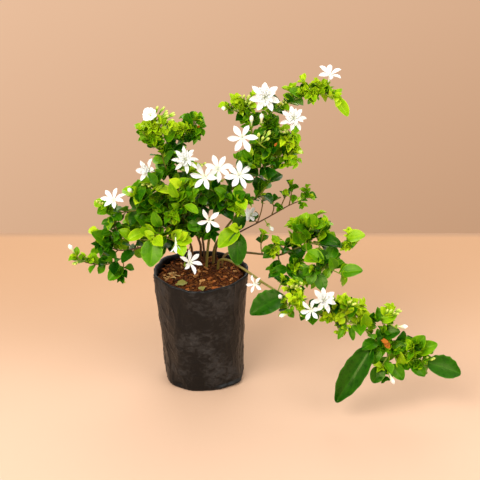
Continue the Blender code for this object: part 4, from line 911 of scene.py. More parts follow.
found_leaves = {node: [] for node in STEMS}
rng = random.Random(LEAF_SEED)
look = random.Random(21)
for (node, number), route in routes.items():
    if number == 0:
        carried = points_of(node)
    first_radius, last_radius, (pairs, first, last, start), _ = STEMS[node][number]
    length = route.starts[-1]
    taken = []
    turn = rng.randrange(2)
    for pair in range(pairs):
        step = pair / max(pairs - 1, 1)
        distance = free_seat(taken, length * (start + (1 - start) * step), length)
        if distance is None:
            continue
        taken.append(distance)
        point, way, across = route.at(distance)
        radius = (first_radius + (last_radius - first_radius) * distance / length) * MM
        for half in (0, 2):
            side = across.copy()
            side.rotate(Quaternion(way, (turn + pair + half) % 4 * math.pi / 2))
            size = (first + (last - first) * step) * MM * LEAF_SIZE * rng.uniform(0.88, 1.12)
            leaf = seated_leaf(carried, point, way, side, radius, size, rng)
            if leaf:
                found_leaves[node].append((*leaf, leaf_tone(node, step, look)))

# More leaves stand on every twig between those pairs, and a tuft of young ones ends it. Thin side shoots fill the
# clumps. Where a flower opens, the leaves that would lie in front of it are left out.
FLOWERS = {
    "flower_01": ("stem_top_left", (-70, -12, 391), (-0.2, -0.7, 0.7), 5, 3, 13, 48, 10),
    "flower_02": ("stem_top_left", (-26, -10, 328), (0.1, -0.8, 0.6), 6, 4, 16, 80, 0),
    "flower_03": ("stem_left", (-72, -34, 323), (-0.6, -0.7, 0.4), 6, 0, 17, 62, 20),
    "flower_04": ("stem_left", (-118, -46, 286), (-0.1, -0.9, 0.4), 6, 0, 17, 82, 8),
    "flower_05": ("stem_top", (0, -14, 306), (-0.4, -0.8, 0.3), 6, 0, 18, 70, 0),
    "flower_06": ("stem_top", (17, 0, 312), (0.2, -0.8, 0.5), 6, 0, 17, 74, 30),
    "flower_07": ("stem_top", (45, -6, 305), (0.1, -0.9, 0.4), 7, 0, 19, 82, 8),
    "flower_08": ("stem_top", (49, -12, 360), (0.0, -0.9, 0.4), 6, 0, 20, 84, 2),
    "flower_09": ("stem_top", (78, -12, 415), (0.0, -0.9, 0.4), 7, 3, 21, 80, 12),
    "flower_10": ("stem_top", (115, -12, 386), (0.1, -0.9, 0.5), 6, 4, 17, 80, 20),
    "flower_11": ("stem_top", (161, -2, 441), (0.1, -0.7, 0.7), 6, 0, 18, 78, 15),
    "flower_12": ("stem_top", (5, -32, 251), (0.0, -0.9, 0.2), 5, 0, 18, 72, 10),
    "flower_13": ("stem_thin_right", (60, 36, 229), (-0.3, -0.8, -0.3), 5, 0, 12, 40, 0),
    "flower_14": ("stem_left", (-21, -48, 197), (0.2, -0.9, 0.2), 6, 0, 18, 80, 25),
    "flower_15": ("stem_low_right", (66, -42, 162), (-0.3, -0.9, 0.2), 5, 0, 14, 78, 15),
    "flower_16": ("stem_low_right", (155, -92, 164), (0.2, -0.9, 0.5), 7, 3, 18, 80, 5),
    "flower_17": ("stem_low_right", (140, -86, 146), (-0.5, -0.8, 0.2), 6, 0, 16, 76, 20),
}
# The clumps: the stem, the middle and the reach in mm, the number of shoots, the length of their
# leaves in mm, and their tone from old to young.
CLUMPS = [
    ("stem_top_left", (-68, -10, 373), 9, 4, 13, 0.80), ("stem_top_left", (-51, -12, 379), 10, 4, 13, 0.85),
    ("stem_top_left", (-37, -5, 365), 10, 4, 12, 0.70), ("stem_top_left", (-59, -5, 354), 10, 4, 13, 0.55),
    ("stem_top_left", (-14, 12, 373), 10, 3, 15, 0.35), ("stem_top_left", (-17, 10, 357), 9, 3, 15, 0.28),
    ("stem_top_left", (-49, 0, 331), 11, 4, 14, 0.28), ("stem_top_left", (-52, 0, 310), 10, 4, 15, 0.25),
    ("stem_left", (-79, -30, 283), 12, 4, 16, 0.30), ("stem_left", (-55, -25, 280), 13, 4, 15, 0.55),
    ("stem_left", (-33, -25, 278), 13, 4, 16, 0.42), ("stem_left", (-73, -30, 258), 12, 4, 15, 0.28),
    ("stem_left", (-46, -35, 260), 12, 4, 15, 0.50), ("stem_left", (-23, -20, 258), 12, 4, 16, 0.32),
    ("stem_left", (-36, -22, 238), 12, 4, 14, 0.50), ("stem_left", (-60, -30, 238), 11, 3, 14, 0.35),
    ("stem_top_left", (-18, -10, 291), 10, 3, 15, 0.50), ("stem_top", (-8, 0, 260), 12, 3, 15, 0.28),
    ("stem_low_left", (-132, -25, 219), 14, 5, 13, 0.18), ("stem_left", (-117, -25, 237), 11, 3, 14, 0.42),
    ("stem_left", (-87, -25, 246), 12, 3, 14, 0.45), ("stem_left", (-125, -35, 268), 8, 2, 11, 0.42),
    ("stem_low_left", (-158, -32, 190), 8, 3, 9, 0.50), ("stem_low_left", (-116, -30, 174), 8, 2, 13, 0.22),
    ("stem_top", (0, -5, 222), 10, 3, 16, 0.18), ("stem_top", (22, 5, 265), 11, 3, 17, 0.32),
    ("stem_top", (43, 0, 260), 10, 3, 15, 0.28), ("stem_top", (46, 10, 400), 9, 3, 12, 0.88),
    ("stem_top", (50, 10, 383), 9, 3, 12, 0.55), ("stem_top", (69, 12, 398), 12, 4, 12, 0.70),
    ("stem_top_right", (85, 10, 377), 11, 3, 14, 0.38), ("stem_top", (79, 15, 350), 12, 4, 16, 0.22),
    ("stem_top_right", (96, 20, 345), 12, 4, 16, 0.28), ("stem_top_right", (83, 15, 324), 12, 4, 15, 0.28),
    ("stem_top_right", (112, 14, 347), 9, 4, 13, 0.88), ("stem_top_right", (111, 14, 323), 10, 4, 13, 0.82),
    ("stem_top_right", (59, 6, 318), 12, 4, 13, 0.55), ("stem_top", (46, 5, 325), 8, 2, 13, 0.38),
    ("stem_top", (116, 8, 413), 10, 4, 14, 0.68), ("stem_top", (131, 6, 419), 10, 4, 13, 0.78),
    ("stem_top", (148, 4, 422), 9, 4, 10, 0.80), ("stem_top", (160, 2, 411), 9, 3, 12, 0.55),
    ("stem_thin_right", (116, 48, 268), 5, 1, 9, 0.35), ("stem_thin_right", (137, 50, 258), 6, 2, 9, 0.50),
    ("stem_thin_right", (101, 48, 239), 6, 1, 10, 0.30), ("stem_thin_right", (133, 50, 241), 6, 1, 10, 0.40),
    ("stem_right", (99, 22, 186), 10, 3, 11, 0.85), ("stem_right", (126, 28, 209), 12, 3, 18, 0.62),
    ("stem_right", (142, 28, 204), 11, 3, 16, 0.60), ("stem_right", (158, 26, 202), 11, 3, 16, 0.72),
    ("stem_right", (189, 8, 207), 11, 4, 13, 0.85), ("stem_right", (169, 6, 177), 12, 3, 16, 0.50),
    ("stem_right", (128, 4, 164), 13, 3, 16, 0.42), ("stem_right", (150, -4, 149), 11, 3, 14, 0.65),
    ("stem_right", (90, 5, 160), 10, 2, 14, 0.20), ("stem_low_right", (171, -74, 143), 9, 4, 14, 0.95),
    ("stem_low_right", (184, -76, 147), 9, 4, 14, 0.98), ("stem_low_right", (186, -78, 112), 9, 4, 9, 0.82),
    ("stem_low_right", (214, -78, 127), 9, 4, 10, 0.88), ("stem_low_right", (238, -84, 136), 10, 4, 13, 0.78),
    ("stem_low_right", (230, -88, 102), 11, 3, 15, 0.18), ("stem_low_right", (248, -95, 88), 11, 3, 14, 0.22),
    ("stem_low_right", (237, -104, 62), 9, 3, 13, 0.32), ("stem_low_right", (273, -104, 99), 9, 2, 14, 0.45),
    ("stem_low_right", (289, -98, 90), 8, 2, 13, 0.45), ("stem_low_right", (282, -106, 79), 8, 3, 12, 0.45),
    ("stem_low_right", (115, -58, 161), 11, 4, 9, 0.88), ("stem_low_right", (123, -60, 152), 9, 4, 9, 0.85),
    ("stem_low_right", (114, -62, 144), 8, 3, 9, 0.72), ("stem_low_right", (134, -68, 134), 9, 5, 9, 0.80),
    ("stem_low_right", (242, -98, 95), 9, 4, 12, 0.25), ("stem_low_right", (258, -100, 88), 9, 3, 12, 0.45),
    ("stem_low_right", (237, -92, 110), 9, 3, 12, 0.20), ("stem_low_right", (272, -102, 76), 8, 3, 11, 0.50),
    ("stem_low_right", (120, -64, 150), 11, 6, 10, 0.92), ("stem_low_right", (128, -66, 140), 9, 5, 9, 0.82),
    ("stem_low_right", (179, -78, 133), 9, 5, 13, 0.92), ("stem_low_right", (195, -78, 130), 9, 4, 12, 0.88),
    ("stem_low_right", (201, -76, 142), 9, 4, 13, 0.92), ("stem_low_right", (167, -76, 129), 8, 4, 11, 0.85),
]
EXTRA_STEP = 0.0052
EXTRA_SHARE = (0.6, 1.0)
FLOWER_CLEAR = 0.018
TUFT = (3, 5)
TUFT_LENGTH = (0.008, 0.0145)
BODY_WIDER = 1.12
SHOOT_STEP = 0.0034
TWIG_TONES = {("stem_top_left", 0): 0.1, ("stem_top_left", 1): -0.1, ("stem_top", 1): 0.15,
              ("stem_top", 2): 0.25, ("stem_top", 3): 0.3, ("stem_top", 0): -0.12,
              ("stem_top", 4): 0.1, ("stem_top_right", 1): 0.25, ("stem_top_right", 2): 0.1,
              ("stem_top_right", 3): -0.1, ("stem_left", 1): -0.15, ("stem_left", 2): -0.05,
              ("stem_left", 4): 0.1, ("stem_left", 5): 0.25, ("stem_back", 0): -0.2,
              ("stem_back", 1): -0.2, ("stem_back", 2): -0.2, ("stem_low_left", 4): -0.1}
eyes = [(mm(place), Vector(facing).normalized()) for _, place, facing, *_ in FLOWERS.values()]


def hides_flower(root, tip):
    """Whether a leaf would lie over the open face of a flower."""
    for eye, facing in eyes:
        for place in (root.lerp(tip, 0.35), root.lerp(tip, 0.7), tip):
            away = place - eye
            height = away.dot(facing)
            if -0.001 < height < 0.035 and (away - facing * height).length < FLOWER_CLEAR:
                return True
    return False


def facing_up(root):
    """The upward side of an added leaf: outwards, and more to the front than to the sky."""
    away = Vector((root.x - PLANT_AXIS.x, root.y - PLANT_AXIS.y, 0)).normalized()
    sway = Vector((look.uniform(-1, 1), look.uniform(-1, 1), 0)) * 0.5
    return (Vector((0, -0.55, 1)) + away * 0.4 + sway).normalized()


def add_leaf(leaves, shapes, root, tip, up, width, tone):
    """Adds the leaf unless it would stand on edge or hide a flower."""
    if abs((tip - root).normalized().dot(up)) < LEAF_ENDWISE and not hides_flower(root, tip):
        leaves.append((look.choice(shapes), blade_frame(root, tip, up, width), tone))


def extra_leaves(node, number, route):
    """Leaves between the model's own."""
    first_radius, last_radius, (pairs, first, last, start), _ = STEMS[node][number]
    length = route.starts[-1]
    distance = length * max(start * 0.9, 0.12)
    shift = TWIG_TONES.get((node, number), 0)
    made = []
    while distance < length:
        point, way, across = route.at(distance)
        share = distance / length
        side = across.copy()
        side.rotate(Quaternion(way, look.uniform(0, 2 * math.pi)))
        size = (first + (last - first) * share) * MM * LEAF_SIZE * look.uniform(*EXTRA_SHARE)
        tip = leaf_tip(point, way, side, 0, look.uniform(-0.1, 0.45), size)
        width = size * LEAF_WIDTH * look.uniform(0.9, 1.2) * BODY_WIDER
        add_leaf(made, LEAF_SHAPES, point, tip, facing_up(point), width, leaf_tone(node, share, look) + shift)
        distance += EXTRA_STEP * look.uniform(0.7, 1.3)
    return made


def tuft(point, way, length, tone):
    """The young leaves at a shoot's tip: small, cupped and standing close together."""
    made = []
    across = way.orthogonal().normalized()
    for leaf in range(look.randint(*TUFT)):
        side = across.copy()
        side.rotate(Quaternion(way, leaf * 2.4 + look.uniform(-0.3, 0.3)))
        lean = look.uniform(0.45, 1.15)
        line = (way * math.cos(lean) + side * math.sin(lean) + Vector((0, 0, 0.2))).normalized()
        size = length * look.uniform(0.7, 1.2)
        up = (Vector((0, -0.4, 1)) + way * 0.8).normalized()
        add_leaf(made, YOUNG_SHAPES, point, point + line * size, up, size * 0.66, tone + look.uniform(-0.1, 0.15))
    return made


def nearest_on_stem(node, place):
    """The nearest point on the middle line of the stem's twigs."""
    options = [(routes[key].nearest(place), key) for key in routes if key[0] == node]
    (_, distance), key = min(options, key=lambda option: option[0][0])
    return routes[key].at(min(distance, routes[key].starts[-1] - STALK_SUNK))[0]


def stand_frame(root, tip, thick):
    """The move that stands a modelled upright shape from root to tip."""
    line = tip - root
    across = line.orthogonal().normalized()
    made = Matrix((across * thick, line.normalized().cross(across) * thick, line)).transposed().to_4x4()
    made.translation = root
    return made


def fill_clump(node, place, reach, shoots, length, tone):
    """Side shoots from the stem into one clump, each with leaves in turn and a tuft at its end."""
    middle = mm(place)
    for shoot in range(shoots):
        away = Vector([look.gauss(0, 0.5) for _ in range(3)])
        away *= min(1, 1 / max(away.length, 0.001))
        tip = middle + Vector((away.x, away.y * 0.7, away.z)) * (reach * MM)
        root = nearest_on_stem(node, tip)
        way = (tip - root).normalized()
        # Painted light: leaves higher in the clump get a paler tone, as if lit from above.
        lit_tone = tone + 0.14 * away.z + look.gauss(0, 0.07)
        run = (tip - root).length
        if run > 0.003:
            shoot_copies[node].append((shoot_shape, stand_frame(root, tip, 1.0), min(lit_tone + 0.2, 0.9)))
        across = way.orthogonal().normalized()
        turn = look.uniform(0, 6)
        distance = run * 0.25
        while distance < run:
            side = across.copy()
            side.rotate(Quaternion(way, turn))
            turn += 2.4
            point = root + way * distance
            size = length * MM * look.uniform(0.75, 1.15)
            leaf = leaf_tip(point, way, side, 0, look.uniform(0.0, 0.4), size)
            width = size * LEAF_WIDTH * look.uniform(1.0, 1.3)
            add_leaf(leaf_copies[node], LEAF_SHAPES, point, leaf, facing_up(point), width, lit_tone)
            distance += SHOOT_STEP * look.uniform(0.8, 1.2)
        leaf_copies[node] += tuft(tip, way, length * MM * 0.9, lit_tone + 0.1)


STALK_LEAST = 0.002
STALK_FOLD = 0.2
STALK_SUNK = 0.0014
shoot_shape = round_tube("shoot_shape", [Vector((0, 0, 0)), Vector((0.0006, 0, 0.5)), Vector((0, 0, 1))],
                         (0.0006, 0.0005, 0.0004), 6)
leaf_copies = {node: [] for node in STEMS}
shoot_copies = {node: [] for node in STEMS}
for node in STEMS:
    for root, tip, up, width, tone in found_leaves[node]:
        place = blade_frame(root, tip, up, width * BODY_WIDER)
        leaf_copies[node].append((look.choice(LEAF_SHAPES), place, tone))
for (node, number), route in routes.items():
    leaf_copies[node] += extra_leaves(node, number, route)
    point, way, _ = route.at(route.starts[-1] - 0.0015)
    leaf_copies[node] += tuft(point, way, 0.011, 0.85)
for clump in CLUMPS:
    fill_clump(*clump)

# The large leaves stand out one by one, on stalks of their own.
LARGE = (0.06, 0.62, 0.92, 1.0, 1.0, 0.92, 0.74, 0.46, 0.05)
large_shape = draw_blade("leaf_large", LARGE, 0.14, 0.05, 0.06, 0.012, 0.007, 4, 1)
WAVY = (0.06, 0.50, 0.80, 0.76, 1.0, 0.86, 1.0, 0.80, 0.80, 0.50, 0.34, 0.04)
large_wavy = draw_blade("leaf_large_wavy", WAVY, 0.13, 0.04, 0.05, 0.038, 0.006, 4, 1)
LARGE_LEAVES = [
    ("stem_left", (-60, -50, 228), (-72, -66, 198), 31, 1.1),
    ("stem_left", (-44, -46, 218), (-16, -46, 228), 22, 0.7),
    ("stem_low_left", (-122, -20, 214), (-152, -32, 234), 24, 0.8),
    ("stem_low_left", (-121, -17, 221), (-100, -24, 238), 18, 0.8),
    ("stem_left", (-80, -34, 236), (-104, -42, 226), 16, 0.9),
    ("stem_low_left", (-90, -25, 190), (-112, -40, 192), 17, 0.3),
    ("stem_low_left", (-106, -30, 182), (-132, -40, 166), 19, 0.8),
    ("stem_left", (-126, -27, 268), (-142, -36, 262), 15, 1.0),
    ("stem_left", (-122, -27, 262), (-110, -40, 254), 15, 1.0),
    ("stem_left", (-73, -30, 272), (-92, -44, 292), 20, 0.9),
    ("stem_left", (-68, -27, 304), (-54, -24, 320), 16, 0.8),
    ("stem_thin_right", (44, -2, 229), (16, -20, 205), 26, 0.9),
    ("stem_thin_right", (42, -2, 222), (43, -22, 178), 26, 1.3),
    ("stem_top", (169, -1, 410), (187, -6, 386), 15, 0.9),
    ("stem_right", (129, 20, 192), (123, 14, 226), 21, 1.3),
    ("stem_right", (138, 14, 200), (134, 6, 222), 15, 1.2),
    ("stem_right", (143, 11, 222), (148, 6, 246), 17, 1.3),
    ("stem_right", (146, 11, 222), (166, 4, 232), 14, 0.9),
    ("stem_right", (146, 14, 203), (164, 2, 214), 17, 0.8),
    ("stem_right", (155, 12, 200), (186, -8, 201), 21, 0.5),
    ("stem_right", (176, 11, 193), (167, -6, 177), 18, 0.9),
    ("stem_right", (192, 7, 206), (217, -2, 216), 20, 0.7),
    ("stem_right", (158, -2, 184), (132, -16, 184), 22, 0.6),
    ("stem_right", (184, -11, 162), (214, -20, 172), 21, 0.7),
    ("stem_right", (175, -8, 168), (167, -20, 192), 17, 1.2),
    ("stem_right", (92, 20, 168), (90, 4, 148), 15, 1.1),
    ("stem_right", (112, 4, 165), (135, -14, 155), 24, 0.9),
    ("stem_right", (145, -14, 168), (140, -26, 152), 15, 1.1),
    ("stem_right", (152, -10, 164), (160, -28, 142), 20, 1.0),
    ("stem_low_right", (106, -49, 149), (58, -72, 131), 36, 0.7),
    ("stem_low_right", (186, -80, 122), (176, -90, 103), 9, 1.0),
    ("stem_low_right", (192, -80, 121), (197, -90, 101), 9, 1.0),
    ("stem_low_right", (213, -86, 120), (210, -92, 144), 17, 1.2),
    ("stem_low_right", (231, -90, 133), (253, -94, 142), 19, 0.9),
    ("stem_low_right", (236, -95, 112), (258, -100, 122), 19, 0.7),
    ("stem_low_right", (222, -96, 100), (172, -124, 24), 35, 1.0),
    ("stem_low_right", (230, -94, 103), (206, -106, 97), 20, 0.4),
    ("stem_low_right", (246, -98, 92), (268, -104, 102), 19, 0.8),
    ("stem_low_right", (236, -105, 72), (222, -114, 50), 20, 1.1),
    ("stem_low_right", (246, -104, 74), (264, -114, 55), 18, 1.0),
    ("stem_low_right", (276, -104, 98), (289, -108, 120), 21, 1.1),
    ("stem_low_right", (280, -105, 92), (307, -108, 108), 20, 0.9),
    ("stem_low_right", (271, -105, 79), (292, -116, 62), 19, 1.0),
    ("stem_low_right", (292, -105, 77), (342, -106, 60), 33, 0.9),
    ("stem_low_right", (228, -98, 98), (222, -110, 76), 16, 1.1),
]
LARGE_TONES = (0.40, 0.80, 0.42, 0.62, 0.75, 0.12, 0.42, 0.50, 0.30, 0.15, 0.35, 0.72, 0.10, 0.78, 0.48,
               0.52, 0.50, 0.55, 0.75, 0.08, 0.30, 0.72, 0.68, 0.45, 0.45, 0.12, 0.20, 0.35, 0.25, 0.08,
               0.45, 0.38, 0.62, 0.68, 0.15, 0.08, 0.30, 0.35, 0.25, 0.35, 0.50, 0.55, 0.28, 0.15, 0.30)
# More of them, which the model has as small leaves: stem, root, tip and width in mm, tone.
MORE_LARGE = [
    ("stem_left", (-90, -38, 272), (-75, -44, 302), 23, 0.30), ("stem_left", (-36, -36, 264), (-16, -42, 295), 20, 0.40),
    ("stem_left", (-27, -38, 275), (-8, -44, 266), 15, 0.60), ("stem_left", (-60, -44, 248), (-67, -50, 273), 16, 0.45),
    ("stem_left", (-99, -34, 225), (-115, -40, 241), 18, 0.65), ("stem_left", (-94, -34, 226), (-80, -44, 242), 15, 0.88),
    ("stem_left", (-63, -46, 307), (-73, -52, 328), 15, 0.32), ("stem_left", (-44, -34, 293), (-65, -40, 299), 15, 0.88),
    ("stem_left", (-36, -36, 286), (-45, -42, 310), 16, 0.62), ("stem_left", (-52, -44, 238), (-65, -50, 221), 19, 0.42),
    ("stem_left", (-78, -38, 246), (-93, -44, 264), 19, 0.35),
    ("stem_left", (-23, -28, 247), (-7, -34, 237), 19, 0.30), ("stem_left", (-122, -28, 258), (-136, -36, 272), 16, 0.40),
    ("stem_top", (128, 8, 407), (108, 2, 420), 17, 0.45), ("stem_top", (151, 6, 404), (133, 0, 401), 12, 0.42),
    ("stem_top_right", (101, 10, 319), (111, 4, 344), 15, 0.55), ("stem_top_right", (95, 6, 328), (75, 0, 324), 12, 0.62),
    ("stem_top_right", (61, 6, 315), (49, 0, 340), 14, 0.40), ("stem_top_right", (103, 10, 363), (120, 4, 352), 14, 0.55),
    ("stem_top_right", (75, 4, 372), (64, -2, 352), 16, 0.35), ("stem_top", (101, 10, 379), (86, 4, 395), 16, 0.22),
    ("stem_top", (27, -2, 268), (11, -8, 288), 18, 0.42), ("stem_top", (35, -2, 262), (54, -8, 282), 22, 0.30),
    ("stem_top", (50, 6, 383), (36, 0, 402), 15, 0.72), ("stem_top", (59, 8, 391), (46, 2, 409), 14, 0.80),
    ("stem_top_left", (-72, -8, 353), (-84, -14, 371), 18, 0.62), ("stem_top_left", (-52, -4, 354), (-37, -10, 370), 19, 0.45),
    ("stem_top_left", (-23, 8, 352), (-4, 2, 368), 16, 0.35), ("stem_top_left", (-20, 8, 369), (-22, 2, 390), 16, 0.25),
    ("stem_top_left", (-52, -2, 318), (-40, -8, 341), 16, 0.30),
    ("stem_low_right", (250, -90, 94), (227, -94, 120), 21, 0.12), ("stem_low_right", (254, -90, 97), (263, -94, 120), 17, 0.15),
    ("stem_low_right", (248, -100, 78), (231, -104, 62), 19, 0.38), ("stem_low_right", (254, -100, 78), (271, -104, 65), 17, 0.35),
    ("stem_low_right", (297, -106, 88), (275, -110, 75), 20, 0.62), ("stem_low_right", (273, -100, 93), (264, -104, 117), 16, 0.42),
    ("stem_right", (122, 4, 218), (116, 0, 232), 14, 0.40), ("stem_right", (169, -2, 176), (152, -6, 196), 19, 0.18),
    ("stem_right", (130, 0, 204), (121, -5, 231), 21, 0.34), ("stem_right", (145, 6, 223), (141, 1, 247), 15, 0.60),
    ("stem_right", (149, -4, 201), (181, -9, 206), 20, 0.12), ("stem_right", (137, -8, 195), (161, -13, 178), 21, 0.55),
    ("stem_right", (114, -8, 174), (134, -13, 154), 21, 0.24), ("stem_right", (98, -2, 174), (86, -7, 157), 17, 0.28),
    ("stem_right", (149, 2, 210), (162, -3, 233), 19, 0.58), ("stem_right", (163, -4, 198), (171, -9, 173), 18, 0.15),
    ("stem_right", (128, -10, 148), (151, -15, 163), 17, 0.32),
]
MORE_FRONT = 0.7
MORE_WIDTH = 0.9
large_stalks = {node: [] for node in STEMS}
every_large = [(*leaf, 0, tone) for leaf, tone in zip(LARGE_LEAVES, LARGE_TONES)]
every_large += [(node, root, tip, width * MORE_WIDTH, MORE_FRONT, look.uniform(-0.7, 0.7), tone)
                for node, root, tip, width, tone in MORE_LARGE]
for node, root, tip, width, front, sway, tone in every_large:
    start = mm(root)
    end = mm(tip)
    seat = nearest_on_stem(node, start)
    up = Vector((sway, -front, 1)).normalized()
    stalk_way = (start - seat).normalized()
    if (seat - start).length < STALK_LEAST or stalk_way.dot((end - start).normalized()) < STALK_FOLD:
        start = seat
    else:
        stalk = round_tube(f"{node}_leaf_stalk", [seat, start, start.lerp(end, 0.06)],
                           (0.0006, 0.0005, 0.0004))
        give_number(stalk.data, "tone", [0.75] * len(stalk.data.vertices))
        large_stalks[node].append(stalk)
    shape = large_wavy if width > 30 or look.random() < 0.3 else large_shape
    leaf_copies[node].append((shape, blade_frame(start, end, up, width * MM), tone))

for node in STEMS:
    leaves = gather(f"{node}_leaves", leaf_copies[node], leaf_skins)
    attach(leaves, "root")
    twiggy = list(large_stalks[node])
    if shoot_copies[node]:
        twiggy.append(gather(f"{node}_shoots", shoot_copies[node], (bark,)))
    if twiggy:
        stalks = as_one(f"{node}_side_shoots", twiggy)
        stalks.data.materials.clear()
        stalks.data.materials.append(bark)
        stalks.data.shade_smooth()
        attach(stalks, "root")
put_away(*LEAF_SHAPES, *YOUNG_SHAPES, large_shape, large_wavy, shoot_shape)

# The flowers. A white star stands on a slender tube out of a small green calyx. Its petals are
# thin, a little cupped and pointed, in one whorl or in two, and the throat is pale yellow-green.
PETAL_WIDTH = 0.37
PETAL_WIDTHS = {"flower_01": 0.85, "flower_02": 0.28, "flower_04": 0.33, "flower_10": 0.32, "flower_12": 0.33,
                "flower_13": 0.5, "flower_14": 0.31, "flower_15": 0.32}
FLOWER_TURNED = {"flower_04": (-0.1, -0.5, 0.85), "flower_11": (0.1, -0.35, 0.9),
                 "flower_13": (-0.1, -0.7, 0.7), "flower_14": (0.5, -0.6, 0.6),
                 "flower_15": (-0.5, -0.75, 0.3)}
# Fuller than the model has them: petals outside and inside, length in mm, opening and own turn.
FULLER = {"flower_01": (7, 0, 11, 68, 10), "flower_02": (8, 7, 19, 82, 0), "flower_03": (6, 4, 18, 62, 20),
          "flower_04": (7, 0, 18, 70, 8), "flower_14": (6, 0, 19, 66, 25),
          "flower_05": (6, 0, 20, 72, 0), "flower_06": (7, 0, 20, 74, 30), "flower_07": (7, 0, 20, 82, 8),
          "flower_10": (7, 5, 18, 82, 20), "flower_11": (6, 0, 18, 68, 15), "flower_13": (6, 0, 13, 62, 0)}
THROAT = 0.0023
INNER_SHARE = 0.80
INNER_CLOSER = 26
INNER_RISE = 0.0013
TUBE_LENGTH = 0.011
CALYX_LENGTH = 0.004
CALYX_DROP = 0.004
SHORTEST_STALK = 0.0015
PETAL_OUTLINE = (0.36, 0.46, 0.66, 0.86, 0.98, 1.0, 0.88, 0.58, 0.10)
INNER_OUTLINE = (0.40, 0.54, 0.74, 0.92, 1.0, 0.98, 0.82, 0.50, 0.08)
TUBE_ROWS = ((0.0004, -0.0110), (0.0007, -0.0109), (0.0009, -0.0085), (0.0010, -0.0050),
             (0.0014, -0.0022), (0.0021, -0.0004), (0.0024, 0.0004), (0.0020, 0.0003),
             (0.0012, -0.0014), (0.0007, -0.0038), (0.0004, -0.0050))

petal_skin, tree, shader = blank_material("petal_white")
unwrapped = put(tree, "ShaderNodeUVMap")
parts = put(tree, "ShaderNodeSeparateXYZ", {0: unwrapped.outputs[0]})
tone = put(tree, "ShaderNodeAttribute", attribute_name="tone")
heart = put(tree, "ShaderNodeMapRange", {"Value": parts.outputs["Y"], "From Min": 0.0, "From Max": 0.30,
                                         "To Min": 0.55, "To Max": 0.0}, interpolation_type="SMOOTHSTEP")
white = mixed(tree, tone.outputs["Fac"], (0.92, 0.93, 0.91, 1), (0.84, 0.84, 0.70, 1))
tree.links.new(mixed(tree, heart.outputs[0], white, (0.80, 0.82, 0.42, 1)), shader.inputs["Base Color"])
shader.inputs["Roughness"].default_value = 0.45
shader.inputs["Subsurface Weight"].default_value = 0.25
shader.inputs["Subsurface Radius"].default_value = (1.0, 1.0, 0.8)
shader.inputs["Subsurface Scale"].default_value = 0.002
ribs = put(tree, "ShaderNodeMath", {0: parts.outputs["X"], 1: 44.0}, operation="MULTIPLY")
rib = put(tree, "ShaderNodeMath", {0: ribs.outputs[0]}, operation="SINE")
relief = put(tree, "ShaderNodeBump", {"Height": rib.outputs[0], "Strength": 0.15, "Distance": 0.0002})
tree.links.new(relief.outputs[0], shader.inputs["Normal"])

outer_petal = draw_blade("petal_outer", PETAL_OUTLINE, 0.10, 0.05, 0.08, 0.012, 0.016)
inner_petal = draw_blade("petal_inner", INNER_OUTLINE, 0.30, 0.08, -0.06, 0.012, 0.018)
sepal = draw_blade("sepal", SLIM, 0.30, 0.0, 0.12, 0.0, 0.05, 2)
flower_tube = draw_rings("flower_tube", 14, TUBE_ROWS)
bpy.ops.mesh.merge(type="CENTER")
bpy.ops.mesh.select_all(action="SELECT")
bpy.ops.mesh.normals_make_consistent(inside=False)
bpy.ops.object.mode_set(mode="OBJECT")
bpy.ops.object.shade_smooth()


def stalk_to(node, foot, axis, mouth):
    """The green stalk from the nearest twig to a calyx, and the calyx's five narrow sepals."""
    root = nearest_on_stem(node, foot - axis * CALYX_DROP)
    points = [root, foot, mouth]
    radii = (0.0007, 0.0007, 0.0013)
    if (foot - root).length < SHORTEST_STALK:
        points = [root, mouth]
        radii = (0.0009, 0.0013)
    stem = round_tube(f"{node}_flower_stalk", points, radii)
    give_number(stem.data, "tone", [0.9] * len(stem.data.vertices))
    flower_stalks[node].append(stem)
    across = axis.orthogonal().normalized()
    for number in range(5):
        side = across.copy()
        side.rotate(Quaternion(axis, number * math.pi * 0.4))
        start = foot.lerp(mouth, 0.5) + side * 0.0006
        tip = mouth + axis * 0.0012 + side * 0.0026
        sepals[node].append((sepal, blade_frame(start, tip, side + axis * 0.2, 0.0017), 0.62))


def open_flower(name, node, place, facing, outer, inner, length, opening, own_turn):
    """A whole flower on its stalk: how many petals are outside, whether an inner whorl of as many stands inside, how
    long, how far open.
    """
    eye = mm(place)
    axis = Vector(facing).normalized()
    across = axis.cross(Vector((0, 0, 1))).normalized()
    across.rotate(Quaternion(axis, math.radians(own_turn)))
    stand = Matrix((across, axis.cross(across), axis)).transposed().to_4x4()
    stand.translation = eye
    copies = [(flower_tube, stand, 0.25)]
    whorls = [(outer, 1.0, opening, 0.0, 0.0, outer_petal)]
    if inner:
        whorls.append((outer, INNER_SHARE, opening - INNER_CLOSER, math.pi / outer, INNER_RISE, inner_petal))
    for count, share, spread, turn, raised, shape in whorls:
        for number in range(count):
            side = across.copy()
            side.rotate(Quaternion(axis, turn + 2 * math.pi * number / outer))
            open_by = math.radians(spread) + 0.10 * math.sin(3.1 * number + own_turn)
            out = axis * math.cos(open_by) + side * math.sin(open_by)
            out = (out + axis.cross(side) * look.uniform(-0.10, 0.10)).normalized()
            start = eye + axis * raised + side * THROAT * 0.8
            long = length * MM * look.uniform(0.92, 1.08)
            tip = start + out * (long - THROAT) * share
            up = axis - side * 0.2
            twist = axis.cross(side) * look.uniform(0.10, 0.30)
            width = length * MM * PETAL_WIDTHS.get(name, PETAL_WIDTH) * look.uniform(0.92, 1.1)
            copies.append((shape, blade_frame(start, tip, up + twist, width), look.uniform(0.0, 0.25)))
    flower = gather(f"{name}_petals", copies, (petal_skin,))
    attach(flower, "root")
    foot = eye - axis * (TUBE_LENGTH + CALYX_LENGTH)
    stalk_to(node, foot, axis, foot + axis * CALYX_LENGTH)
    return flower


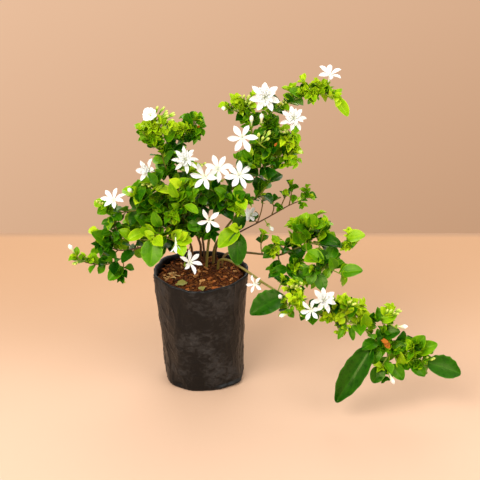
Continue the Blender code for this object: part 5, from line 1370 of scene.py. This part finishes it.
flower_stalks = {node: [] for node in STEMS}
sepals = {node: [] for node in STEMS}
for name, (node, place, facing, *given) in FLOWERS.items():
    turned = FLOWER_TURNED.get(name, facing)
    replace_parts(open_flower(name, node, place, turned, *FULLER.get(name, given)), name)
# One that has hung its last petals over the rim.
open_flower("hanging_flower", "stem_left", (-38, -52, 225), (0.1, -0.3, -1), 4, 0, 14, 32, 20)


# The white buds. Each is a closed flower, a slim spindle whose petals are wound round each other.
BUDS = {
    "bud_01": ("stem_top", (74, -2, 390), (0.0, -0.1, 1.0), 15),
    "bud_02": ("stem_top", (61, 2, 386), (0.0, -0.2, 1.0), 17),
    "bud_03": ("stem_top", (22, 2, 396), (-0.8, -0.4, 0.4), 12),
    "bud_04": ("stem_left", (-100, -40, 300), (-0.6, -0.4, 0.7), 13),
    "bud_05": ("stem_low_left", (-182, -36, 218), (-0.4, -0.1, 0.8), 15),
    "bud_06": ("stem_low_right", (98, -66, 158), (-0.3, -0.5, 0.7), 15),
    "bud_07": ("stem_low_right", (98, -76, 131), (-0.9, -0.4, -0.1), 14),
    "bud_08": ("stem_low_right", (266, -106, 132), (0.9, -0.2, 0.1), 15),
    "bud_09": ("stem_low_right", (250, -122, 54), (0.4, -0.4, -0.8), 17),
    "bud_10": ("stem_thin_right", (92, 30, 208), (0.5, -0.6, -0.4), 12),
}
BUD_ROWS = ((0.20, 0.0), (0.34, 0.03), (0.40, 0.2), (0.50, 0.36), (0.78, 0.50), (1.0, 0.63),
            (1.0, 0.74), (0.76, 0.86), (0.38, 0.95), (0.10, 1.0))
BUD_RADIUS = 0.0027
bud_shape = draw_rings("bud_shape", 15, [(radius * BUD_RADIUS, height) for radius, height in BUD_ROWS])
bpy.ops.mesh.merge(type="CENTER")
bpy.ops.mesh.select_all(action="SELECT")
bpy.ops.mesh.normals_make_consistent(inside=False)
bpy.ops.object.mode_set(mode="OBJECT")
for point in bud_shape.data.vertices:
    turn = math.atan2(point.co.y, point.co.x)
    point.co.xy *= 1 + 0.12 * math.sin(5 * turn + 7 * point.co.z)
give_number(bud_shape.data, "along", [point.co.z for point in bud_shape.data.vertices])
bpy.ops.object.shade_smooth()

bud_skin, tree, shader = blank_material("bud_white")
along = put(tree, "ShaderNodeAttribute", attribute_name="along")
tree.links.new(ramp(tree, along.outputs["Fac"], ((0.05, (0.42, 0.52, 0.10)), (0.45, (0.80, 0.82, 0.50)),
                                                 (0.75, (0.90, 0.90, 0.82)))),
               shader.inputs["Base Color"])
shader.inputs["Roughness"].default_value = 0.5
shader.inputs["Subsurface Weight"].default_value = 0.2
shader.inputs["Subsurface Scale"].default_value = 0.002
green_bud_skin, tree, shader = blank_material("bud_green")
along = put(tree, "ShaderNodeAttribute", attribute_name="along")
tree.links.new(ramp(tree, along.outputs["Fac"], ((0.2, (0.16, 0.34, 0.02)), (0.6, (0.38, 0.56, 0.04)),
                                                 (0.95, (0.66, 0.70, 0.14)))),
               shader.inputs["Base Color"])
shader.inputs["Roughness"].default_value = 0.45


for name, (node, tip, facing, length) in BUDS.items():
    axis = Vector(facing).normalized()
    foot = mm(tip) - axis * (length * MM)
    bud = gather(f"{name}_petals", [(bud_shape, stand_frame(foot, mm(tip), 1.0), 0.0)], (bud_skin,))
    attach(bud, "root")
    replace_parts(bud, name)
    stalk_to(node, foot - axis * CALYX_LENGTH, axis, foot)


# The green buds. They stand in loose clusters at the shoots' ends, each on its own thin stalk.
GREEN_BUDS = [
    ("stem_top_left", (-53, -6, 398), 12, 3, 11),
    ("stem_top_right", (76, 0, 360), 13, 5, 12),
    ("stem_top_right", (104, 10, 362), 8, 2, 10),
    ("stem_top", (100, 0, 404), 9, 3, 11),
    ("stem_top", (60, 8, 404), 7, 2, 11),
    ("stem_low_left", (-176, -38, 190), 6, 2, 8),
    ("stem_left", (-140, -34, 280), 7, 2, 10),
    ("stem_low_right", (122, -56, 168), 12, 5, 11),
    ("stem_low_right", (254, -96, 148), 8, 2, 10),
    ("stem_low_right", (300, -110, 88), 8, 2, 9),
    ("stem_low_right", (192, -88, 160), 8, 3, 9),
]
MORE_BUDS = [("stem_low_right", (118, -60, 167), 8, 3, 15), ("stem_low_right", (134, -72, 128), 9, 2, 12),
             ("stem_top_left", (-43, -12, 390), 11, 3, 14), ("stem_top", (55, 2, 415), 5, 1, 13),
             ("stem_top_left", (-3, -8, 322), 8, 2, 12), ("stem_low_right", (189, -78, 155), 6, 2, 11),
             ("stem_low_right", (244, -90, 150), 5, 1, 14), ("stem_left", (-75, -40, 305), 10, 2, 12)]
green_buds = {node: [] for node in STEMS}
for node, place, reach, count, length in GREEN_BUDS + MORE_BUDS:
    middle = mm(place)
    root = nearest_on_stem(node, middle - Vector((0, 0, 0.006)))
    for bud in range(count * 2):
        angle = math.pi * bud / count + look.uniform(-0.4, 0.4)
        shift = Vector((math.cos(angle), 0.6 * math.sin(angle), 0.5 * math.sin(2 * angle)))
        tip = middle + shift * (reach * MM * look.uniform(0.4, 0.95))
        way = (tip - root).normalized()
        foot = tip - way * min(length * MM * look.uniform(0.8, 1.2), (tip - root).length * 0.8)
        stem = round_tube(f"{node}_bud_stalk", [root, foot], (0.0005, 0.0004))
        give_number(stem.data, "tone", [0.9] * len(stem.data.vertices))
        flower_stalks[node].append(stem)
        green_buds[node].append((bud_shape, stand_frame(foot, tip, look.uniform(0.5, 0.75)), 0.0))
for node in STEMS:
    if flower_stalks[node]:
        stalks = as_one(f"{node}_flower_stalks", flower_stalks[node])
        stalks.data.materials.append(bark)
        stalks.data.shade_smooth()
        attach(stalks, "root")
    if sepals[node]:
        calyxes = gather(f"{node}_calyxes", sepals[node], leaf_skins)
        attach(calyxes, "root")
    if green_buds[node]:
        buds = gather(f"{node}_green_buds", green_buds[node], (green_bud_skin,))
        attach(buds, "root")
put_away(outer_petal, inner_petal, sepal, flower_tube, bud_shape)


# The litter. Chips of husk, bits of fibre and two fallen leaves lie loose on the coir.
LITTER = {
    "fallen_leaf_01": ((-30, -34), 17, 7, 1.2, 20),
    "fallen_leaf_02": ((-2, -50), 13, 6, 1.2, 100),
    "husk_chip_01": ((16, -46), 9, 7, 4.0, 35),
    "husk_chip_02": ((-50, -14), 12, 4, 2.0, 70),
    "husk_chip_03": ((30, -38), 8, 5, 3.0, 10),
}
CHIP_COUNT = 420
FIBRE_COUNT = 90
SOIL_REACH = 0.057
husk_skin, tree, shader = blank_material("husk")
tone = put(tree, "ShaderNodeAttribute", attribute_name="tone")
place = put(tree, "ShaderNodeTexCoord")
grain = put(tree, "ShaderNodeTexNoise", {"Vector": place.outputs["Object"], "Scale": 900.0, "Detail": 3.0})
shift = put(tree, "ShaderNodeMath", {0: grain.outputs["Fac"], 1: 0.4, 2: -0.2}, operation="MULTIPLY_ADD")
total = put(tree, "ShaderNodeMath", {0: tone.outputs["Fac"], 1: shift.outputs[0]}, operation="ADD")
tree.links.new(ramp(tree, total.outputs[0], ((0.0, (0.008, 0.002, 0.0005)), (0.35, (0.095, 0.023, 0.006)),
                                             (0.65, (0.38, 0.105, 0.020)), (0.95, (0.72, 0.45, 0.16)))),
               shader.inputs["Base Color"])
shader.inputs["Roughness"].default_value = 0.85
shader.inputs["Specular IOR Level"].default_value = 0.12
relief = put(tree, "ShaderNodeBump", {"Height": grain.outputs["Fac"], "Strength": 0.6, "Distance": 0.0006})
tree.links.new(relief.outputs[0], shader.inputs["Normal"])

bpy.ops.object.select_all(action="DESELECT")
bpy.ops.mesh.primitive_cube_add(size=1, location=(0, 0, 0))
chip = bpy.context.object
chip.name = "chip"
bpy.ops.object.mode_set(mode="EDIT")
for end, share in ((0.5, 0.55), (-0.5, 0.8)):
    pick(chip, lambda co: abs(co.x - end) < 0.01)
    bpy.ops.transform.resize(value=(1, share, share), center_override=(end, 0, 0))
bpy.ops.mesh.select_all(action="SELECT")
bpy.ops.mesh.bevel(offset=0.09, segments=1)
bpy.ops.object.mode_set(mode="OBJECT")
fibres = [round_tube(f"fibre_{number}", [Vector((0, 0, 0)), Vector((0.35, bend, 0.04)),
                                         Vector((0.7, -bend * 0.4, 0.10)), Vector((1, bend * 0.5, 0))],
                     (0.012, 0.016, 0.014, 0.008), 6, 2) for number, bend in enumerate((0.12, 0.25, -0.18))]


def lie_at(x, y, length, width, thick, turn, tilt):
    """The move that lays a chip or a fibre on the coir, turned and a little tilted."""
    made = Matrix.Rotation(turn, 4, "Z") @ Matrix.Rotation(tilt, 4, "Y") @ Matrix.Diagonal((length, width, thick, 1))
    made.translation = (x, y, soil_height(x, y) + thick * 0.4)
    return made


mixed_bits = random.Random(8)
bits = []
for number in range(CHIP_COUNT + FIBRE_COUNT):
    angle = mixed_bits.uniform(0, 2 * math.pi)
    reach = SOIL_REACH * math.sqrt(mixed_bits.random())
    x = BAG_LEAN + reach * math.cos(angle)
    y = reach * math.sin(angle)
    turn = mixed_bits.uniform(0, math.pi)
    tilt = mixed_bits.gauss(0, 0.25)
    if number < CHIP_COUNT:
        length = 0.0018 + 0.0062 * mixed_bits.random() ** 2.2
        sizes = (length, length * mixed_bits.uniform(0.4, 0.8), length * mixed_bits.uniform(0.2, 0.5))
        bits.append((chip, lie_at(x, y, *sizes, turn, tilt), mixed_bits.uniform(0.02, 0.80)))
    else:
        length = mixed_bits.uniform(0.006, 0.016)
        shape = fibres[number % len(fibres)]
        bits.append((shape, lie_at(x, y, length, length, length, turn, tilt * 0.5),
                     mixed_bits.uniform(0.15, 0.75)))
# An orange chunk at the front, and straw-coloured splinters by the left rim.
for x, y, length, tone in ((0.023, -0.044, 0.008, 0.60), (0.027, -0.041, 0.006, 0.66), (0.014, -0.050, 0.005, 0.62)):
    bits.append((chip, lie_at(x, y, length, length * 0.8, length * 0.6, length * 300, 0.2), tone))
for number in range(14):
    x = -0.045 + mixed_bits.gauss(0, 0.005)
    y = -0.006 + mixed_bits.gauss(0, 0.008)
    sizes = (mixed_bits.uniform(0.007, 0.014), 0.0022, 0.0011)
    turn = mixed_bits.choice((0.9, 2.4)) + mixed_bits.gauss(0, 0.3)
    bits.append((chip, lie_at(x, y, *sizes, turn, mixed_bits.gauss(0, 0.2)), 1.05))
crumbs = gather("coir_crumbs", bits, (husk_skin,))
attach(crumbs, "root")

fallen_skin = leaf_material("fallen_leaf", ((0.0, (0.06, 0.05, 0.01)), (0.5, (0.20, 0.19, 0.04)),
                                            (1.0, (0.36, 0.33, 0.08))), 0.5, 0.2, 0.3)
fallen_shape = draw_blade("fallen", OVAL, 0.08, 0.04, 0.0, 0.03, 0.03)
for name, ((x, y), length, width, thick, turn) in LITTER.items():
    x, y, length, width, thick = (value * MM for value in (x, y, length, width, thick))
    turn = math.radians(turn)
    if name.startswith("fallen"):
        way = Vector((math.cos(turn), math.sin(turn), 0.05)) * length / 2
        middle = Vector((x, y, soil_height(x, y) + 0.003))
        place = blade_frame(middle - way, middle + way, Vector((0, -0.3, 1)), width * 1.5)
        piece = gather(f"{name}_blade", [(fallen_shape, place, 0.55)], (fallen_skin,))
    else:
        place = lie_at(x, y, length, width, thick, turn, 0.15)
        piece = gather(f"{name}_piece", [(chip, place, 0.80 if name != "husk_chip_01" else 0.62)], (husk_skin,))
    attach(piece, "root")
    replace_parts(piece, name)


# The withered leaves. A few small dead ones, orange-brown and curled, still hang in the clumps.
# The model leaves them out.
withered_skin = leaf_material("withered_leaf", ((0.0, (0.08, 0.012, 0.003)), (0.5, (0.38, 0.085, 0.008)),
                                                (1.0, (0.70, 0.26, 0.03))), 0.55, 0.1, 0.1)
WITHERED = [("stem_low_right", (235, -100, 112), (243, -108, 99), 8),
            ("stem_low_right", (232, -101, 109), (241, -109, 110), 6),
            ("stem_low_right", (238, -102, 100), (244, -109, 104), 4), ("stem_top_right", (95, 2, 348), (91, -2, 344), 3),
            ("stem_top_left", (-10, 4, 368), (-7, -2, 374), 4)]
withered = {node: [] for node in STEMS}
for node, root, tip, width in WITHERED:
    up = Vector((look.uniform(-0.6, 0.6), -1, 0.6)).normalized()
    withered[node].append((fallen_shape, blade_frame(mm(root), mm(tip), up, width * MM), look.uniform(0.3, 0.7)))
for node in STEMS:
    if withered[node]:
        dead = gather(f"{node}_withered", withered[node], (withered_skin,))
        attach(dead, "root")
put_away(chip, fallen_shape, *fibres)
